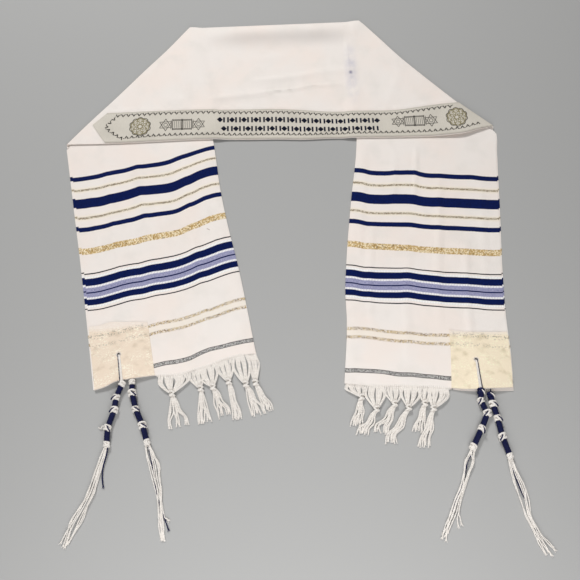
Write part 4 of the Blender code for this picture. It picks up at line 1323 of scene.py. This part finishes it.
def tie(threads, centre, way, slot, turned, accent, scale):
    """A double knot: crossing loops of a thick cord round the shaft, and a strand over them."""
    way, across, rise = cross_frame(way)
    size = scale * (1.0 + 0.1 * sin(2.3 * turned))
    for tilt, shift, radius, cord in KNOT_LOOPS:
        spots = []
        for i in range(23):
            turn = 2 * pi * i / 22 + turned
            lean = way * (shift + 2.8 * tilt * sin(turn + 0.5 * sin(turned)))
            aside = radius * (cos(turn) * across + 0.72 * sin(turn) * rise)
            spots.append(centre + (lean + aside) * size)
        threads.add(spots, cord, 7, slot)
    threads.add([centre - way * KNOT_HALF, centre, centre + way * KNOT_HALF], 3.2, 8, slot)
    lean = 3.2 * (1 if sin(turned) > 0 else -1)
    over = [centre + (way * forward + across * lean * aside + rise * up) * scale
            for forward, aside, up in KNOT_OVER]
    threads.add(path_through(over, 10), 1.5, 6, slot)
    if accent is not None:
        beside = [spot - across * lean * 0.75 + rise * 0.5 for spot in over]
        threads.add(path_through(beside, 10), 1.0, 6, accent)


def loop_spots(side, ply, first_z):
    """The loop's way in (u, v, z), from the first knot over the hem and into the eyelet."""
    tassel = TASSELS[side, ply]
    knot_u, knot_v = tassel["knots"]["u"][0], tassel["knots"]["v"][0]
    eye_u, eye_v = tassel["eyelet"]

    def bed(u, v):
        if ply == "under":
            return WALL + 1.1
        return LOW + SEWN_MID + WALL / 2 + tuck_lift(side, u, v) + end_lift(side, u, v) + 0.9

    spots = [(knot_u, knot_v, first_z)]
    hem_v = hem(side, "top", knot_u)
    for v in (*[hem_v - above for above in LOOP_ABOVE_HEM], eye_v + 3.6):
        share = (knot_v - v) / (knot_v - eye_v)
        spots.append((knot_u + (eye_u - knot_u) * share, v, bed(knot_u, v)))
    eye_z = bed(eye_u, eye_v)
    sunk = 3.2 if ply == "top" else 0.9
    return [*spots, (eye_u, eye_v + 0.8, eye_z - 0.7), (eye_u, eye_v, eye_z - sunk)]


def tassel_shaft(threads, side, ply, centres):
    """Five knots with windings of navy cord between them."""
    seed = TASSEL_SEED[side, ply]
    last = len(centres) - 1
    for i, centre in enumerate(centres):
        way = centres[min(i + 1, last)] - centres[max(i - 1, 0)]
        if i == 0 and side == "right":      # these two start in the navy cord
            tie(threads, centre, way, NAVY_SLOT, seed, WHITE_SLOT, END_KNOT_SCALE)
        elif i in (0, last):
            tie(threads, centre, way, WHITE_SLOT, 1.3 * i + seed, None, END_KNOT_SCALE)
        else:
            tie(threads, centre, way, WHITE_SLOT, 1.3 * i + seed, NAVY_SLOT, KNOT_SCALE)
    for start, end in zip(centres, centres[1:]):
        way = (end - start) / np.linalg.norm(end - start)
        wind(threads, start + way * (KNOT_HALF - 0.6), end - way * (KNOT_HALF - 0.6), NAVY_SLOT)


def tassel_tails(threads, side, ply):
    """The loose strands below the last knot, frayed at their ends."""
    tassel = TASSELS[side, ply]
    noise = spread(TASSEL_SEED[side, ply], 900, 1.0)
    last = (tassel["knots"]["u"][-1], tassel["knots"]["v"][-1])
    way = [last, *zip(tassel["tails"]["u"], tassel["tails"]["v"])]
    strands = TAILS[side, ply]
    for k, (offsets, short) in enumerate(strands):
        j = noise[20 * k:20 * k + 20]
        slot = NAVY_SLOT if k == len(strands) - 1 else WHITE_SLOT
        lying = 1.5 * (k % 2) if slot == WHITE_SLOT else 0.0
        heights = (SHAFT_Z - 1.0 + 0.5 * j[9], 2.4 + lying, 1.5 + lying, 1.4 + lying, 1.2)
        stops = (*[0] * (len(offsets) - 1), short)
        spots = [(u + offset, v - stop, z)
                 for (u, v), offset, stop, z in zip(way, offsets, stops, heights)]
        middles = []
        for a, b, wave in zip(spots, spots[1:], j[11:15]):
            middles += [a, tuple((np.array(a) + np.array(b)) / 2 + np.array((1.8 * wave, 0, 0.2)))]
        path = laid_path(side, [*middles, spots[-1]], 64)
        taper = cord_taper(len(path), 0.95, 0.85)
        twisted(threads, path, CORD_RADIUS, 5.0, slot, j[15] * 3, 5, taper)
        hairs = []
        for hair in range(4):
            away = (hair - 1.5) * 0.8 + 0.5 * noise[400 + 5 * k + hair]
            length = 4.0 + 1.5 * noise[500 + 5 * k + hair]
            hairs.append((3, length * 0.4, away * 0.6, length, away * 1.4))
        fray(threads, path, 5, hairs, (0.55, 0.45, 0.3), slot)


def make_tassel(side, ply):
    threads = Threads()
    centres = knot_centres(side, ply)
    tassel_shaft(threads, side, ply, centres)
    loop = loop_spots(side, ply, centres[0][2] + (1.5 if ply == "top" else -1.5))
    for k, slot in LOOP_STRANDS:
        spots = [(u + k * width, v, z + 0.1) for (u, v, z), width in zip(loop, LOOP_WIDTHS)]
        twisted(threads, laid_path(side, spots, 30), 0.98, 4.5, slot, k, 4)
    tassel_tails(threads, side, ply)
    if (side, ply) == ("left", "top"):
        knots = TASSELS[side, ply]["knots"]
        stub = [(knots["u"][3] + du, knots["v"][3] + dv, z) for du, dv, z in STUB]
        twisted(threads, laid_path(side, stub, 14), 1.1, 4.0)
    return threads.make(f"tassel_{side}_{ply}", WHITE_THREAD, NAVY_CORD)


def make_eyelet_ring(side):
    """Buttonhole stitches round the eyelet."""
    threads = Threads()
    eye_u, eye_v = TASSELS[side, "top"]["eyelet"]
    for k in range(STITCHES_ROUND_EYELET):
        turn = 2 * pi * k / STITCHES_ROUND_EYELET
        spots = []
        for radius, up in ((2.55, -0.35), (2.75, 0.2), (3.6, 0.22), (4.3, -0.05)):
            u, v = eye_u + radius * cos(turn), eye_v + radius * sin(turn)
            x, y, z = end_point(side, u, v, -SEWN_TOP)
            spots.append((x, y, z + up))
        threads.add(spots, 0.3, 4)
    return threads.make(f"eyelet_stitches_{side}", WHITE_THREAD)


# ---- build
CUTTER_DEPTH = 18                       # from the gap beneath the upper ply to well above it


def eyelet_cutter(side):
    x, y = end_plan(side, *TASSELS[side, "top"]["eyelet"])
    mesh = bpy.data.meshes.new("eyelet_cutter")
    bm = bmesh.new()
    bmesh.ops.create_cone(bm, cap_ends=True, segments=24, radius1=EYELET_RADIUS * MM,
                          radius2=EYELET_RADIUS * MM, depth=CUTTER_DEPTH * MM)
    bm.to_mesh(mesh)
    bm.free()
    cutter = to_object(f"eyelet_cutter_{side}", mesh)
    cutter.location = (x * MM, y * MM, (WALL + GAP / 2 + CUTTER_DEPTH / 2) * MM)
    bpy.context.view_layer.update()
    return cutter


def dress(piece, node=None):
    """A piece rides on the one body, and may stand for a solid."""
    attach(piece, "root")
    if node:
        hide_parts(node)
    return piece


middle = dress(make_middle(), "shawl_middle")
band = dress(make_band(), "atarah")
band_figures = [dress(make()) for make in (make_zigzag, make_emblems, make_rows)]
ends, patches, trimmings = {}, {}, {}
for side in SIDES:
    cutter = eyelet_cutter(side)
    ends[side] = dress(make_end(side, cutter), f"shawl_{side}")
    patches[side] = dress(make_patch(side, cutter), f"corner_patch_{side}")
    bpy.data.objects.remove(cutter)
    trimmings[side] = [dress(make_eyelet_ring(side))]
    for ply in ("top", "under"):
        fringe = make_fringe(side, ply)
        trimmings[side].append(dress(fringe, f"fringe_{side}_{ply}"))
        dress(make_tassel(side, ply), f"tzitzit_{side}_{ply}")


# ---- floor, light, camera
FLOOR_HALF, FLOOR_Z = 8.0, -0.0004      # metres, as are the places below
CAMERA_AT = Vector((0.01055, -0.37565, 0.8578))
CAMERA_TO = Vector((0.00655, -0.07195, 0.0))
CAMERA_ROLL = radians(-2.907)


def make_floor():
    mesh = bpy.data.meshes.new("floor")
    half, z = FLOOR_HALF, FLOOR_Z
    corners = [(-half, -half, z), (half, -half, z), (half, half, z), (-half, half, z)]
    mesh.from_pydata(corners, [], [(0, 1, 2, 3)])
    plain = Graph("floor_plain", roughness=1.0, specular=0.05)
    return to_object("floor", mesh, plain.finish(TONE.floor))


def soft_box(name, place, target, size, power):
    light = bpy.data.lights.new(name, "AREA")
    light.shape = "SQUARE"
    light.size = size
    light.energy = power
    made = bpy.data.objects.new(name, light)
    bpy.context.scene.collection.objects.link(made)
    made.location = place
    made.rotation_euler = (Vector(target) - Vector(place)).to_track_quat("-Z", "Y").to_euler()


make_floor()
soft_box("softbox_back", (-0.5, 1.8, 1.9), (0.0, 0.0, 0.0), 0.45, 44.5)
soft_box("softbox_front", (0.0, -0.9, 0.6), (0.0, -0.35, 0.0), 0.9, 6.8)
bpy.context.scene.view_settings.view_transform = "Standard"

world = bpy.data.worlds.new("studio")
bpy.context.scene.world = world
world.use_nodes = True
background = world.node_tree.nodes["Background"]
background.inputs["Color"].default_value = (1.0, 0.99, 0.98, 1.0)
background.inputs["Strength"].default_value = 0.25

camera_data = bpy.data.cameras.new("camera")
camera_data.lens = 35.07
camera_data.sensor_width = 36.0
camera_data.sensor_fit = "HORIZONTAL"
camera_data.clip_start = 0.01
camera = bpy.data.objects.new("camera", camera_data)
bpy.context.scene.collection.objects.link(camera)
aim = (CAMERA_TO - CAMERA_AT).to_track_quat("-Z", "Y").to_matrix().to_4x4()
camera.matrix_world = Matrix.Translation(CAMERA_AT) @ aim @ Matrix.Rotation(CAMERA_ROLL, 4, "Z")
bpy.context.scene.camera = camera
